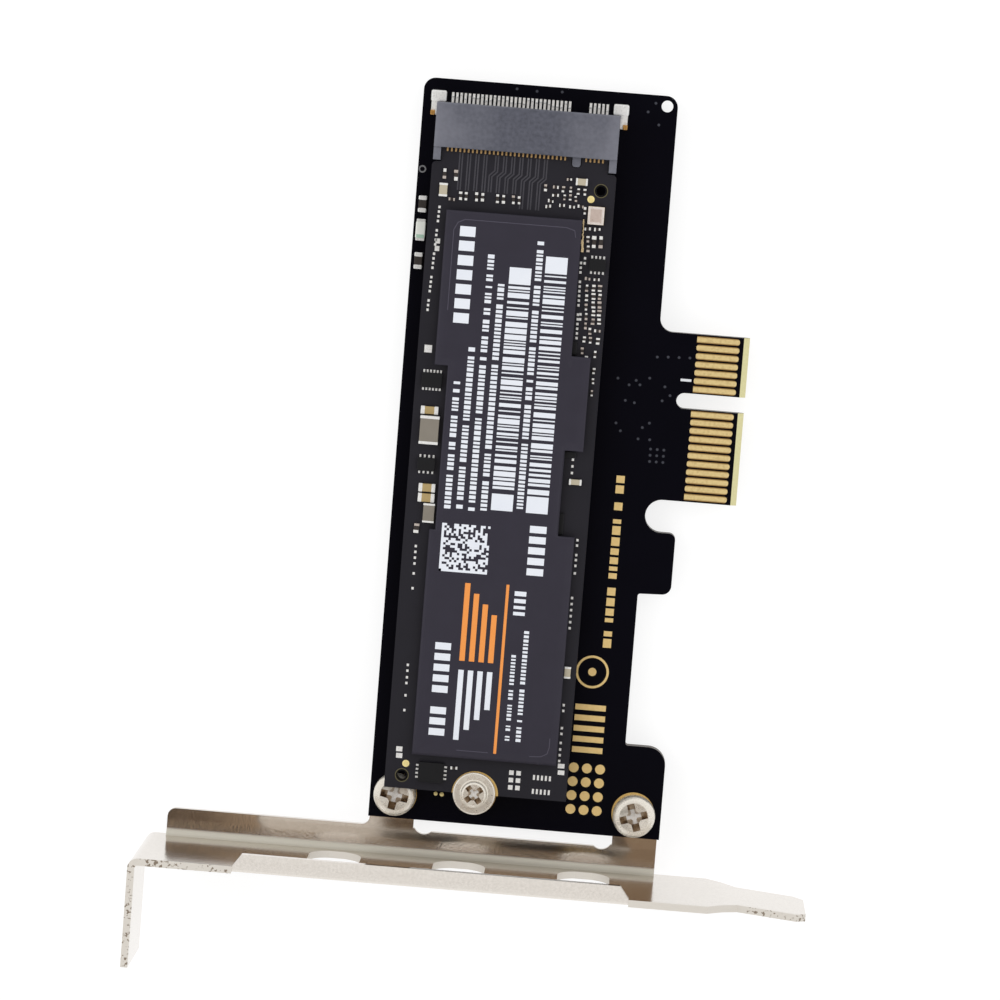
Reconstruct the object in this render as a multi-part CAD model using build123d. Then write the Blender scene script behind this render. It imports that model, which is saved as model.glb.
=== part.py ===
"""Low-profile adapter card with a solid-state drive plugged in and screwed down.

Millimetres, +Z up, the card lying on its back. The origin is the centre of the key notch on the plug
edge, half way through the board's thickness. +X is the plug-in direction, and +Y runs along the card,
away from its bracket.
"""

import os
from math import radians, sin, tan

from build123d import *

# Card board, set out from the plug edge (x = 0) and from the key notch (y = 0)
board_t = 1.57
edge_inset = 10.9
right_margin = 6.6
left_margin = 1.8
far_margin = 5.33
foot_margin = 4.24
corner_r = 1.4
corner_hole_d = 1.4
corner_hole_in = 1.25
plug_y = 30.84

# Plug tongue and its fingers
finger_pitch = 1.0
finger_w = 0.7
finger_len = 5.15
finger_t = 0.05
finger_start = 1.17
far_fingers = 7
near_fingers = 11
tongue_end = 0.6
key_w = 1.9
key_depth = 8.2
bevel_len = 0.7
bevel_depth = 0.42
root_r = 1.6

# Shapes along the board's right edge, below the tongue
notch_w = 4.0
latch_reach = 6.95
latch_len = 7.4
foot_reach = 5.9
foot_len = 11.2
foot_r = 2.2

# Drive
drive_w = 22.0
drive_len = 80.0
drive_t = 0.8
seat_h = 2.45
shoulder = 1.075
shoulder_len = 4.5
notch_d = 3.5
key_slot_w = 1.2
key_slot_r = 0.55
key_slot_end = 0.5
chip_h = 1.05
label_t = 0.12
pad_t = 0.04
pad_len = 2.0
pad_in = 0.3
tooling_d = 1.1

# Drive socket
socket_h = 4.2
socket_rear = 2.55
lip_y = 2.75
arm_y = 4.3
contact_pitch = drive_w / 44
contact_w = 0.2
contact_t = 0.15
upper_touch = 1.5
lower_touch = 2.2
front_tail = 5.3
rear_tail = 1.22
tip_reach = 0.45
riser_in = 0.75
post_in = 0.35
lug_w = 0.85
lug_back = 1.6
lug_rear = 1.25
slit_play = 0.03
slot_play = 0.1
key_offset = 12.25 * contact_pitch

# Bracket
bracket_t = 0.86
bracket_w = 18.42
bracket_drop = 4.66
bend_r = 0.9
lip_bend_r = 0.3
flange_h = 3.31
flange_left = 24.5
flange_right = 0.25
flange_r = 1.0
ear_w = 5.4
ear_dip = 1.3
lip_h = 1.55
lip_left = 14.8
lip_right = 3.2
lip_tilt = 11.0
tab_reach = 27.1
tab_len = 12.3
tab_w = 11.9
tongue_reach = 12.0
tongue_w = 11.6
tongue_fold = 2.0
tongue_bend = 4.5
vent_w = 6.3
vent_pitch = 15.05

# Screws, their plated lands and the standoff
head_d = 5.1
land_d = 5.2
end_land_d = 5.6
thread_d = 3.0
drive_thread_d = 2.5
hole_play = 0.3
thread_play = 0.02
screw_in = 2.95

# Levels and edges that follow from the sizes above
top = board_t / 2
back = -board_t / 2
x_right = -edge_inset
x_drive = x_right - right_margin - drive_w / 2
x_left = x_drive - drive_w / 2 - left_margin
x_foot = -foot_reach
y_far = plug_y + far_margin
drive_end = plug_y - drive_len
y_near = drive_end - foot_margin
drive_low = top + seat_h
drive_top = drive_low + drive_t
far_tongue = (far_fingers + 0.5) * finger_pitch + tongue_end
near_tongue = (near_fingers + 0.5) * finger_pitch + tongue_end
screw_y = y_near + screw_in
screw_spots = [(x_left + 0.55 * ear_w + 0.13, screw_y), (x_foot - 0.55 * ear_w - 0.43, screw_y)]
head_h = 0.78 * seat_h
half_socket = drive_w / 2 - 0.1
half_tongue = drive_w / 2 - shoulder
key_x = x_drive + key_offset
spigot_d = drive_thread_d + 1.1
wide = drive_w / 22
long = drive_len / 80


def outline(corners, place):
    """Flat face from (a, b, corner radius) points, put into space by place."""
    edges = []
    spots = []
    count = len(corners)
    for i in range(count):
        before = Vector(*corners[i - 1][:2])
        here = Vector(*corners[i][:2])
        after = Vector(*corners[(i + 1) % count][:2])
        r = corners[i][2]
        u = (before - here).normalized()
        v = (after - here).normalized()
        if r == 0:
            spots.append((here, None, here))
            continue
        half = radians(u.get_angle(v)) / 2
        w = (u + v).normalized()
        reach = r / tan(half)
        spots.append((here + u * reach, here + w * (r / sin(half) - r), here + v * reach))
    for i in range(count):
        start, middle, end = spots[i]
        if middle is not None:
            edges.append(Edge.make_three_point_arc(place(start), place(middle), place(end)))
        follow = spots[(i + 1) % count][0]
        if (follow - end).length > 1e-6:
            edges.append(Edge.make_line(place(end), place(follow)))
    return Face(Wire(edges))


def prism_x(corners, low, high):
    """Solid with this (y, z, radius) outline, from x = low to x = high."""
    face = outline(corners, lambda p: Vector(low, p.X, p.Y))
    return extrude(face, amount=high - low, dir=(1, 0, 0))


def prism_y(corners, low, high):
    """Solid with this (x, z, radius) outline, from y = low to y = high."""
    face = outline(corners, lambda p: Vector(p.X, low, p.Y))
    return extrude(face, amount=high - low, dir=(0, 1, 0))


def prism_z(corners, low, high):
    """Solid with this (x, y, radius) outline, from z = low to z = high."""
    face = outline(corners, lambda p: Vector(p.X, p.Y, low))
    return extrude(face, amount=high - low, dir=(0, 0, 1))


def block(x0, x1, y0, y1, z0, z1):
    """Plain box between these limits."""
    box = Box(x1 - x0, y1 - y0, z1 - z0)
    return Pos((x0 + x1) / 2, (y0 + y1) / 2, (z0 + z1) / 2) * box


def disc(x, y, z0, z1, d):
    """Upright cylinder between two levels."""
    return Pos(x, y, (z0 + z1) / 2) * Cylinder(d / 2, z1 - z0)


def sharp(*points):
    """Outline points with no corner radius."""
    return [(a, b, 0) for a, b in points]


def finger_rows():
    """Centre lines of the plug fingers on one face."""
    rows = [(i + 1.5) * finger_pitch for i in range(far_fingers)]
    rows += [-(i + 1.5) * finger_pitch for i in range(near_fingers)]
    return rows


def contact_rows(count, first):
    """Centre lines of one row of drive contacts, without those the key takes."""
    return [x_drive + (first + i) * contact_pitch for i in range(count) if i not in (29, 30, 31, 32)]


upper_rows = contact_rows(38, -18.5)
lower_rows = contact_rows(37, -18)


def adapter_board():
    """Card board with its tongue, key, notches, foot and holes."""
    y_notch = -near_tongue - notch_w
    y_latch = y_notch - latch_len
    y_foot = y_near + foot_len
    x_notch = x_right + 0.1
    corners = [
        (x_left, y_near, 0),
        (x_left, y_far, corner_r),
        (x_right, y_far, corner_r),
        (x_right, far_tongue, root_r),
        (0, far_tongue, 0),
        (0, key_w / 2, 0),
        (-key_depth, key_w / 2, key_w / 2),
        (-key_depth, -key_w / 2, key_w / 2),
        (0, -key_w / 2, 0),
        (0, -near_tongue, 0),
        (x_notch, -near_tongue, notch_w / 2),
        (x_notch, y_notch, notch_w / 2),
        (-latch_reach, y_notch, 0.8),
        (-latch_reach, y_latch, 1.1),
        (x_right, y_latch - 0.15, 0.3),
        (x_right, y_foot, 0.3),
        (x_foot, y_foot, foot_r),
        (x_foot, y_near, 0),
    ]
    body = prism_z(corners, back, top)
    bevels = []
    for side in (1, -1):
        lip = side * (top - bevel_depth)
        wedge = sharp((-bevel_len, side * top), (0.01, side * top), (0.01, lip), (0, lip))
        bevels.append(prism_y(wedge, -near_tongue - 1, far_tongue + 1))
    holes = [disc(x, y, back - 1, top + 1, thread_d + hole_play) for x, y in screw_spots]
    holes.append(disc(x_right - corner_hole_in, y_far - corner_hole_in, back - 1, top + 1, corner_hole_d))
    holes.append(disc(x_drive, drive_end, back - 1, top + 1, spigot_d + 2 * thread_play))
    return body - (bevels + holes)


def edge_fingers(side):
    """Row of plug fingers on the front (side 1) or back (side -1) of the tongue."""
    low = top if side > 0 else back - finger_t
    x0 = -finger_start - finger_len
    x1 = -finger_start
    half = finger_w / 2
    return Compound([block(x0, x1, y - half, y + half, low, low + finger_t) for y in finger_rows()])


def ground_pads():
    """Plated rings under the two bracket screws."""
    rings = []
    for x, y in screw_spots:
        ring = disc(x, y, top, top + finger_t, land_d)
        rings.append(ring - disc(x, y, top - 1, top + 1, thread_d + hole_play))
    return Compound(rings)


def upper_contact_levels():
    """Levels shared by the upper contacts and the slits that hold them."""
    riser = plug_y + socket_rear - riser_in
    arm = drive_top + 0.22
    return riser, arm


def m2_upper_contacts():
    """Upper contact springs: rear solder tail, riser and an arm bent down to the drive's pad."""
    riser, arm = upper_contact_levels()
    tail = plug_y + socket_rear + rear_tail
    tip = plug_y - lip_y - tip_reach
    spot = plug_y - upper_touch
    touch = drive_top + pad_t
    profile = sharp(
        (tail, top),
        (riser, top),
        (riser, arm),
        (spot, touch),
        (tip, arm),
        (tip, arm + contact_t),
        (spot, touch + contact_t),
        (riser + contact_t, arm + contact_t),
        (riser + contact_t, top + contact_t),
        (tail, top + contact_t),
    )
    return Compound([prism_x(profile, x - contact_w / 2, x + contact_w / 2) for x in upper_rows])


def m2_lower_contacts():
    """Lower contact springs: front tail under the drive, post and an arm that rises to its pad."""
    post = plug_y - post_in
    arm = drive_low - post_in
    spot = plug_y - lower_touch
    tail = plug_y - front_tail
    touch = drive_low - pad_t
    profile = sharp(
        (tail, top),
        (post, top),
        (post, arm),
        (spot, touch),
        (spot, touch - contact_t),
        (post - contact_t, arm - contact_t),
        (post - contact_t, top + contact_t),
        (tail, top + contact_t),
    )
    return Compound([prism_x(profile, x - contact_w / 2, x + contact_w / 2) for x in lower_rows])


def m2_socket_housing():
    """Socket moulding: open-fronted slot, side arms, key rib, upper contact slits and lower troughs."""
    rear = plug_y + socket_rear
    lip = plug_y - lip_y
    front = plug_y - arm_y
    slot_low = drive_low - slot_play
    slot_high = drive_top + 0.15
    x0 = x_drive - half_socket
    x1 = x_drive + half_socket
    inside = half_tongue + slot_play
    crown = top + socket_h
    side = sharp(
        (rear, top),
        (rear, crown - 0.15),
        (rear - 0.15, crown),
        (lip + 0.1, crown),
        (lip, crown - 0.1),
        (lip, slot_high + 0.45),
        (front + 0.15, slot_high + 0.45),
        (front, slot_high + 0.3),
        (front, top),
    )
    body = prism_x(side, x0, x1)
    slot = block(x_drive - inside, x_drive + inside, front - 1, plug_y + 0.15, slot_low, slot_high)
    mouth = block(x_drive - inside, x_drive + inside, front - 1, lip, slot_low, crown + 1)
    body = body - [slot, mouth]
    rib_end = plug_y - shoulder_len + key_slot_end + slot_play
    rib_half = key_slot_w / 2 - slot_play
    rib_r = key_slot_r - 2 * slot_play
    rib_side = [
        (key_x - rib_half, plug_y + 0.2, 0),
        (key_x - rib_half, rib_end, rib_r),
        (key_x + rib_half, rib_end, rib_r),
        (key_x + rib_half, plug_y + 0.2, 0),
    ]
    rib = prism_z(rib_side, slot_low - 0.2, slot_high - 0.02)
    rib_back = block(key_x - rib_half, key_x + rib_half, lip, plug_y + 0.2, slot_low, slot_high + 0.1)
    body = body + rib + rib_back
    riser, arm = upper_contact_levels()
    reach = contact_w / 2 + slit_play
    roof = arm + contact_t + slit_play
    first = upper_rows[0] - reach
    last = upper_rows[-1] + reach
    slits = [block(x - reach, x + reach, lip - 1, riser, slot_high - 0.05, roof) for x in upper_rows]
    slits.append(block(first, last, riser - slit_play, riser + contact_t + slit_play, top - 1, roof))
    slits.append(block(first, last, riser, rear + 1, top - 1, top + contact_t + slit_play))
    post = plug_y - post_in + slit_play
    troughs = ((lower_rows[0], key_x - contact_pitch), (key_x + contact_pitch, lower_rows[-1]))
    slits += [block(x0 - reach, x1 + reach, front - 1, post, top - 1, slot_low + 0.05) for x0, x1 in troughs]
    return body - slits


def m2_hold_downs():
    """Soldered metal lugs round the socket's two rear corners."""
    rear = plug_y + socket_rear
    lugs = []
    for hand in (-1, 1):
        outer = x_drive + hand * (half_socket + lug_w)
        inner = x_drive + hand * (half_socket + 0.02)
        toe = x_drive + hand * (half_socket - lug_w)
        corners = [
            (toe, rear + 0.05, 0),
            (toe, rear + lug_rear, 0),
            (outer, rear + lug_rear, 0),
            (outer, rear - lug_back, 0),
            (inner, rear - lug_back, 0),
            (inner, rear + 0.05, 0),
        ]
        foot = prism_z(corners, top, top + 2 * contact_t)
        x0, x1 = sorted((inner, inner + hand * 1.5 * contact_t))
        y0 = rear - 0.9 * lug_back
        y1 = rear - 0.2 * lug_back
        wall = block(x0, x1, y0, y1, top + contact_t, top + 0.45 * socket_h)
        lugs.append(foot + wall)
    return Compound(lugs)


def standoff():
    """Riveted spacer that carries the drive's free end."""
    body = disc(x_drive, drive_end, top, drive_low, spigot_d + 1.5)
    body = body + disc(x_drive, drive_end, back - 0.3, top + 0.5, spigot_d)
    return body - disc(x_drive, drive_end, back - 1, drive_low + 1, drive_thread_d + thread_play)


def recess(width, span, depth, z):
    """Cross recess cutter, its floor depth below z."""
    arm = block(-span / 2, span / 2, -width / 2, width / 2, z - depth, z + 1)
    return arm + Rot(0, 0, 90) * arm


def drive_screw():
    """Flanged screw that clamps the drive's end to the standoff."""
    seat = drive_top + pad_t
    flange = 0.42
    crown = 0.85
    r = head_d / 2
    low_r = 0.61 * r
    shank_r = drive_thread_d / 2
    tip = drive_low - 0.8 * seat_h
    profile = [
        (0, tip, 0),
        (shank_r, tip, 0),
        (shank_r, seat, 0),
        (r, seat, 0),
        (r, seat + flange, 0),
        (low_r, seat + flange, 0),
        (low_r, seat + flange + 0.7 * crown, 0),
        (0.85 * low_r, seat + flange + crown, 0),
        (0, seat + flange + crown, 0),
    ]
    face = outline(profile, lambda p: Vector(p.X, 0, p.Y))
    body = revolve(face, Axis.Z)
    body = body - recess(0.55, 2.2, 0.6, seat + flange + crown)
    return Pos(x_drive, drive_end, 0) * body


def bracket_screws():
    """Two pan-head screws through the board into the bracket's ears."""
    seat = top + finger_t
    r = head_d / 2
    rim = 0.5 * head_h
    tip = back - bracket_t - 1.0
    profile = sharp(
        (0, tip),
        (thread_d / 2, tip),
        (thread_d / 2, seat),
        (r, seat),
        (r, seat + rim),
        (0.62 * r, seat + head_h),
        (0, seat + head_h),
    )
    face = outline(profile, lambda p: Vector(p.X, 0, p.Y))
    body = revolve(face, Axis.Z)
    screws = []
    for (x, y), turn in zip(screw_spots, (20, 65)):
        head = body - Rot(0, 0, turn) * recess(0.75, 2.9, 1.0, seat + head_h)
        screws.append(Pos(x, y, 0) * head)
    return Compound(screws)


def bracket():
    """Folded steel bracket: plate, bent tab, tongue, screw flange with two ears and a stiffening lip."""
    z_back = back - bracket_t
    z_front = z_back + bracket_w
    z_mid = (z_back + z_front) / 2
    y_in = y_near - bracket_drop
    y_out = y_in - bracket_t
    tab_x = x_left - tab_reach
    tip_x = tongue_reach
    bend_x = tongue_fold
    drop = (tip_x - bend_x) * tan(radians(tongue_bend))
    tab_end = y_out - tab_len
    strip = [
        (tab_x, tab_end, 0),
        (tab_x, y_in, 0.35 + bracket_t),
        (bend_x, y_in, 0),
        (tip_x, y_in - drop, 0),
        (tip_x, y_in - drop - bracket_t, 0),
        (bend_x, y_out, 0),
        (tab_x + bracket_t, y_out, 0.35),
        (tab_x + bracket_t, tab_end, 0),
    ]
    body = prism_z(strip, z_back, z_front)
    cuts = [block(tab_x - 1, tab_x + 4, tab_end - 1, y_out - 0.4, z_back - 1, z_front - tab_w)]
    for side in (-1, 1):
        edge = z_mid + side * bracket_w / 2
        inner = z_mid + side * tongue_w / 2
        over = edge + side
        taper = sharp(
            (0.2, over),
            (0.2, edge),
            (3.8, inner),
            (tip_x - 1.2, inner),
            (tip_x + 0.01, inner - side * 1.2),
            (tip_x + 2, inner - side * 1.2),
            (tip_x + 2, over),
        )
        cuts.append(prism_y(taper, y_out - 4, y_in + 1))
    flange_x0 = x_left - flange_left
    flange_x1 = x_foot - flange_right
    flange_top = y_in + flange_h
    outer_r = bend_r + bracket_t
    cuts.append(block(flange_x0, flange_x1, y_out - 1, y_in + 1, z_back - 1, z_back + outer_r))
    lip_x0 = x_left - lip_left
    lip_x1 = x_foot - lip_right
    lip_rise = tan(radians(lip_tilt))
    lip_fold = z_front - lip_rise * (lip_h + bracket_t)
    lip_outer = lip_bend_r + bracket_t
    lip_low = lip_fold - lip_outer
    cuts.append(block(lip_x0, lip_x1, y_out - 1, y_in + 1, lip_low, z_front + 1))
    vent_z = z_back + 0.4 * bracket_w
    vent_half = 0.26 * bracket_w
    for i in (-1, 0, 1):
        x = x_drive - 1.2 + i * vent_pitch
        corners = [
            (x - vent_w / 2, vent_z - vent_half, vent_w / 2),
            (x + vent_w / 2, vent_z - vent_half, vent_w / 2),
            (x + vent_w / 2, vent_z + vent_half, vent_w / 2),
            (x - vent_w / 2, vent_z + vent_half, vent_w / 2),
        ]
        cuts.append(prism_y(corners, y_out - 1, y_in + 1))
    body = body - cuts
    flange = [
        (y_in, z_back + outer_r + 1, 0),
        (y_in, back, bend_r),
        (flange_top, back, 0),
        (flange_top, z_back, 0),
        (y_out, z_back, outer_r),
        (y_out, z_back + outer_r + 1, 0),
    ]
    fold = prism_x(flange, flange_x0, flange_x1)
    round_x = flange_x0 + flange_r
    round_y = flange_top - flange_r
    corner = block(flange_x0 - 1, round_x, round_y, flange_top + 1, z_back - 1, back + 1)
    fold = fold - (corner - disc(round_x, round_y, z_back - 2, back + 2, 2 * flange_r))
    ear_x0 = x_left + 0.1
    ear_x1 = flange_x1
    dip_x0 = ear_x0 + ear_w + ear_dip
    dip_x1 = ear_x1 - ear_w - ear_dip
    dip_y = flange_top + 0.5 * ear_dip
    fold = fold - block(dip_x0, dip_x1, flange_top - 0.3, flange_top + 1, z_back - 1, back + 1)
    ear_top = screw_y + ear_w / 2
    for x0, x1 in ((ear_x0, ear_x0 + ear_w), (ear_x1 - ear_w, ear_x1)):
        r = ear_w / 2
        corners = [(x0, flange_top - 1, 0), (x1, flange_top - 1, 0), (x1, ear_top, r), (x0, ear_top, r)]
        fold = fold + prism_z(corners, z_back, back)
    web = [
        (ear_x0 - 1.5, flange_top - 0.5, 0),
        (ear_x0 + 0.5, flange_top - 0.5, 0),
        (ear_x0 + 0.5, flange_top + 1, 0),
        (ear_x0, flange_top + 1, 0),
        (ear_x0, flange_top, 0.95),
        (ear_x0 - 1.5, flange_top, 0),
    ]
    fold = fold + prism_z(web, z_back, back)
    fold = fold - [disc(x, dip_y, z_back - 1, back + 1, 2 * ear_dip) for x in (dip_x0, dip_x1)]
    rest = [
        (y_in, lip_low - 1, 0),
        (y_in, z_front - bracket_t - lip_rise * lip_h, lip_bend_r),
        (y_in + lip_h, z_front - bracket_t, 0),
        (y_in + lip_h, z_front, 0),
        (y_out, lip_fold, lip_outer),
        (y_out, lip_low - 1, 0),
    ]
    lip = prism_x(rest, lip_x0, lip_x1)
    slopes = []
    for end, hand in ((lip_x0, 1), (lip_x1, -1)):
        corner = sharp(
            (end - hand, y_in),
            (end, y_in),
            (end + hand * 1.1, y_in + lip_h + 0.01),
            (end - hand, y_in + lip_h + 1),
        )
        slopes.append(prism_z(corner, lip_low - 1, z_front + 1))
    lip = lip - slopes
    body = body + fold + lip
    taps = [disc(x, y, z_back - 1, back + 1, thread_d + thread_play) for x, y in screw_spots]
    return body - taps


def status_led():
    """Indicator lamp on the strip beside the drive."""
    x = x_left + left_margin / 2
    y = plug_y - 12.9
    return block(x - 0.58, x + 0.58, y - 1.3, y + 1.3, top, top + 0.6)


def adapter_passives():
    """Two chip parts on the same strip."""
    x = x_left + left_margin / 2
    parts = []
    for y in (plug_y - 9.8, plug_y - 16.6):
        parts.append(block(x - 0.5, x + 0.5, y - 1.0, y + 1.0, top, top + 0.5))
    return Compound(parts)


def on_drive(x, y, w, l, h):
    """Box on the drive's top face: x from its centre line, y from its plug edge."""
    cx = x_drive + x * wide
    cy = plug_y - y * long
    half_w = w * wide / 2
    half_l = l * long / 2
    return block(cx - half_w, cx + half_w, cy - half_l, cy + half_l, drive_top, drive_top + h)


def drive_board():
    """Drive board with its plug tongue, key slot, end notch and tooling holes."""
    x0 = x_drive - drive_w / 2
    x1 = x_drive + drive_w / 2
    step = plug_y - shoulder_len
    corners = [
        (x0, drive_end, 0),
        (x1, drive_end, 0),
        (x1, step, 0.5),
        (x_drive + half_tongue, step, 0),
        (x_drive + half_tongue, plug_y, 0),
        (x_drive - half_tongue, plug_y, 0),
        (x_drive - half_tongue, step, 0),
        (x0, step, 0.5),
    ]
    body = prism_z(corners, drive_low, drive_top)
    slot_end = plug_y - shoulder_len + key_slot_end
    slot_half = key_slot_w / 2
    key = [
        (key_x - slot_half, plug_y + 1, 0),
        (key_x - slot_half, slot_end, key_slot_r),
        (key_x + slot_half, slot_end, key_slot_r),
        (key_x + slot_half, plug_y + 1, 0),
    ]
    cuts = [prism_z(key, drive_low - 1, drive_top + 1)]
    cuts.append(disc(x_drive, drive_end, drive_low - 1, drive_top + 1, notch_d))
    for x, y in ((9.3, 6.5), (-8.95, 78.4)):
        cuts.append(disc(x_drive + x * wide, plug_y - y * long, drive_low - 1, drive_top + 1, tooling_d))
    return body - cuts


def drive_fingers(rows, low):
    """Plug pads on one face of the drive's tongue."""
    y1 = plug_y - pad_in
    y0 = y1 - pad_len
    half = 0.35 * contact_pitch
    return Compound([block(x - half, x + half, y0, y1, low, low + pad_t) for x in rows])


def drive_end_ring():
    """Half ring of plating round the drive's end notch, under the screw's flange."""
    ring = disc(x_drive, drive_end, drive_top, drive_top + pad_t, end_land_d)
    ring = ring - disc(x_drive, drive_end, drive_top - 1, drive_top + 1, notch_d)
    x0 = x_drive - head_d
    x1 = x_drive + head_d
    return ring - block(x0, x1, drive_end - head_d, drive_end, drive_top - 1, drive_top + 1)


def controller_chip():
    """Controller package under the label's far end."""
    return on_drive(-0.4, 17.6, 14.0, 13.0, chip_h)


def buffer_chip():
    """Buffer memory package next to the controller."""
    return on_drive(1.35, 31.9, 15.5, 10.0, chip_h)


def memory_chips():
    """Two storage packages at the drive's free end."""
    return Compound([on_drive(0.9, 54.4, 16.2, 12.6, chip_h), on_drive(0.9, 68.2, 16.2, 12.6, chip_h)])


def drive_label():
    """Stepped label film laid over the packages."""
    left = [(-8.8, 10.1), (-8.8, 28.6), (-7.2, 28.6), (-7.2, 48.3), (-7.9, 48.3), (-7.9, 75.6)]
    right = [(9.5, 75.6), (9.5, 47.9), (7.5, 47.9), (7.5, 37.6)]
    right += [(9.7, 37.6), (9.7, 26.3), (7.65, 26.3), (7.65, 10.1)]
    corners = sharp(*[(x_drive + x * wide, plug_y - y * long) for x, y in left + right])
    return prism_z(corners, drive_top + chip_h, drive_top + chip_h + label_t)


def drive_crystal():
    """Metal-lidded oscillator."""
    return on_drive(8.95, 9.45, 1.95, 2.15, 0.7)


def drive_inductors():
    """Two power inductors on the drive's left edge."""
    return Compound([on_drive(-8.85, 36.5, 2.3, 3.4, 1.0), on_drive(-8.15, 46.45, 1.4, 2.3, 0.8)])


def drive_small_ics():
    """Three small regulator and logic packages."""
    return Compound([
        on_drive(-9.0, 30.55, 2.4, 1.8, 0.6),
        on_drive(-8.9, 40.65, 2.1, 1.6, 0.6),
        on_drive(-5.46, 77.72, 3.08, 2.4, 0.6),
    ])


def drive_capacitors():
    """Larger chip capacitors."""
    spots = [
        (-9.4, 7.8, 1.0, 1.6),
        (-9.0, 34.15, 2.1, 0.95),
        (-8.6, 43.45, 2.0, 1.0),
        (-8.6, 44.65, 2.0, 1.05),
        (6.95, 5.6, 1.4, 0.85),
        (9.95, 64.3, 0.8, 1.4),
        (9.04, 41.35, 1.5, 0.7),
    ]
    return Compound([on_drive(x, y, w, l, 0.5) for x, y, w, l in spots])


os.makedirs("parts", exist_ok=True)
nodes = {
    "adapter_board": adapter_board(),
    "edge_fingers_front": edge_fingers(1),
    "edge_fingers_back": edge_fingers(-1),
    "ground_pads": ground_pads(),
    "m2_socket_housing": m2_socket_housing(),
    "m2_upper_contacts": m2_upper_contacts(),
    "m2_lower_contacts": m2_lower_contacts(),
    "m2_hold_downs": m2_hold_downs(),
    "standoff": standoff(),
    "drive_screw": drive_screw(),
    "bracket": bracket(),
    "bracket_screws": bracket_screws(),
    "status_led": status_led(),
    "adapter_passives": adapter_passives(),
    "drive_board": drive_board(),
    "drive_fingers_top": drive_fingers(upper_rows, drive_top),
    "drive_fingers_bottom": drive_fingers(lower_rows, drive_low - pad_t),
    "drive_end_ring": drive_end_ring(),
    "controller_chip": controller_chip(),
    "buffer_chip": buffer_chip(),
    "memory_chips": memory_chips(),
    "drive_label": drive_label(),
    "drive_crystal": drive_crystal(),
    "drive_inductors": drive_inductors(),
    "drive_small_ics": drive_small_ics(),
    "drive_capacitors": drive_capacitors(),
}
for name, shape in nodes.items():
    export_step(shape, f"parts/{name}.step")
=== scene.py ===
"""Looks of a low-profile adapter card with a solid-state drive plugged in and screwed down.

Lengths are millimetres in the card's own frame, and become metres where a mesh is made.
"""

import math
import random
from functools import partial

import bmesh
import bpy
from mathutils import Matrix, Vector

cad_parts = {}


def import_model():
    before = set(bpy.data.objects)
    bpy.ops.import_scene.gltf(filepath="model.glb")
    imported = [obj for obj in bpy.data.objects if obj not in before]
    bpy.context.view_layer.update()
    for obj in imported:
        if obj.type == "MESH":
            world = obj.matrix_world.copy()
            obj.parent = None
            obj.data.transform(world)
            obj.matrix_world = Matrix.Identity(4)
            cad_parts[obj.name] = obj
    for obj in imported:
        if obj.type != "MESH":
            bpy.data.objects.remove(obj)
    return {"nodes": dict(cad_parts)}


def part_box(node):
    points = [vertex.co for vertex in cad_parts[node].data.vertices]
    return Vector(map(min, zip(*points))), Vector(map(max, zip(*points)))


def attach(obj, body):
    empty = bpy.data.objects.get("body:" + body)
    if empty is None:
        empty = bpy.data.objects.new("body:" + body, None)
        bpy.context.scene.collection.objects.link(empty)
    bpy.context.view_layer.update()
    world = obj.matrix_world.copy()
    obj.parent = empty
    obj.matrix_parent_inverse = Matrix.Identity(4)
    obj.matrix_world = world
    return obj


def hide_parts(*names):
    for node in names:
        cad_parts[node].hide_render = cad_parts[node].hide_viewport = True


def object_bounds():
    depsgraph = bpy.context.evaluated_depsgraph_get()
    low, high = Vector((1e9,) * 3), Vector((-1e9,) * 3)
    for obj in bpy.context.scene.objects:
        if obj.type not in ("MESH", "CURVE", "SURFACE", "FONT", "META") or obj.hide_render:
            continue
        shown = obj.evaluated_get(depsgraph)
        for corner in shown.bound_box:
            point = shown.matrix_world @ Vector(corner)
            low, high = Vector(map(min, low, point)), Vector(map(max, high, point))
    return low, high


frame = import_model()
cad_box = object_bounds()
nodes = frame["nodes"]
scene = bpy.context.scene
MM = 0.001


def box_mm(node):
    """Lowest and highest corner of a CAD node in millimetres."""
    low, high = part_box(node)
    return low / MM, high / MM


# Levels and places that the frame gives
drive_low, drive_high = box_mm("drive_board")
CARD_TOP = box_mm("adapter_board")[1].z
LABEL_TOP = box_mm("drive_label")[1].z
HEAD_SEAT = box_mm("ground_pads")[1].z
DRIVE_TOP = drive_high.z
DRIVE_X = (drive_low.x + drive_high.x) / 2
PLUG_Y = drive_high.y
DRIVE_END = drive_low.y

# Bracket: just inside its plate, the dull strip along its fold, and the middle of the cleanly cut edge
PLATE_FACE = -57.9
FOLD_FAR = -56.0
FOLD_NEAR = -57.3
CLEAN_EDGE_X = -25.0
CLEAN_EDGE_HALF = 30.0

# Plug fingers
FINGER_PITCH = 1.0
FINGER_W = 0.8
FINGER_R = 0.36

# Thin layers
INK = 0.012
PLATE = 0.03
SILK = 0.02
TRACE = 0.025

# Node kinds that the finishes share, and a Mix node's sockets and settings for colours
NOISE = "ShaderNodeTexNoise"
MATH = "ShaderNodeMath"
SPLIT = "ShaderNodeSeparateXYZ"
RANGE = "ShaderNodeMapRange"
BUMP = "ShaderNodeBump"
MIX = "ShaderNodeMix"
MIX_A = 6
MIX_B = 7
COLOURS = {"output": 2, "data_type": "RGBA"}


def linear(colour):
    """Linear colour from an sRGB hex value."""
    channels = [int(colour[i:i + 2], 16) / 255 for i in (1, 3, 5)]
    return [c / 12.92 if c <= 0.04045 else ((c + 0.055) / 1.055) ** 2.4 for c in channels] + [1.0]


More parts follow.
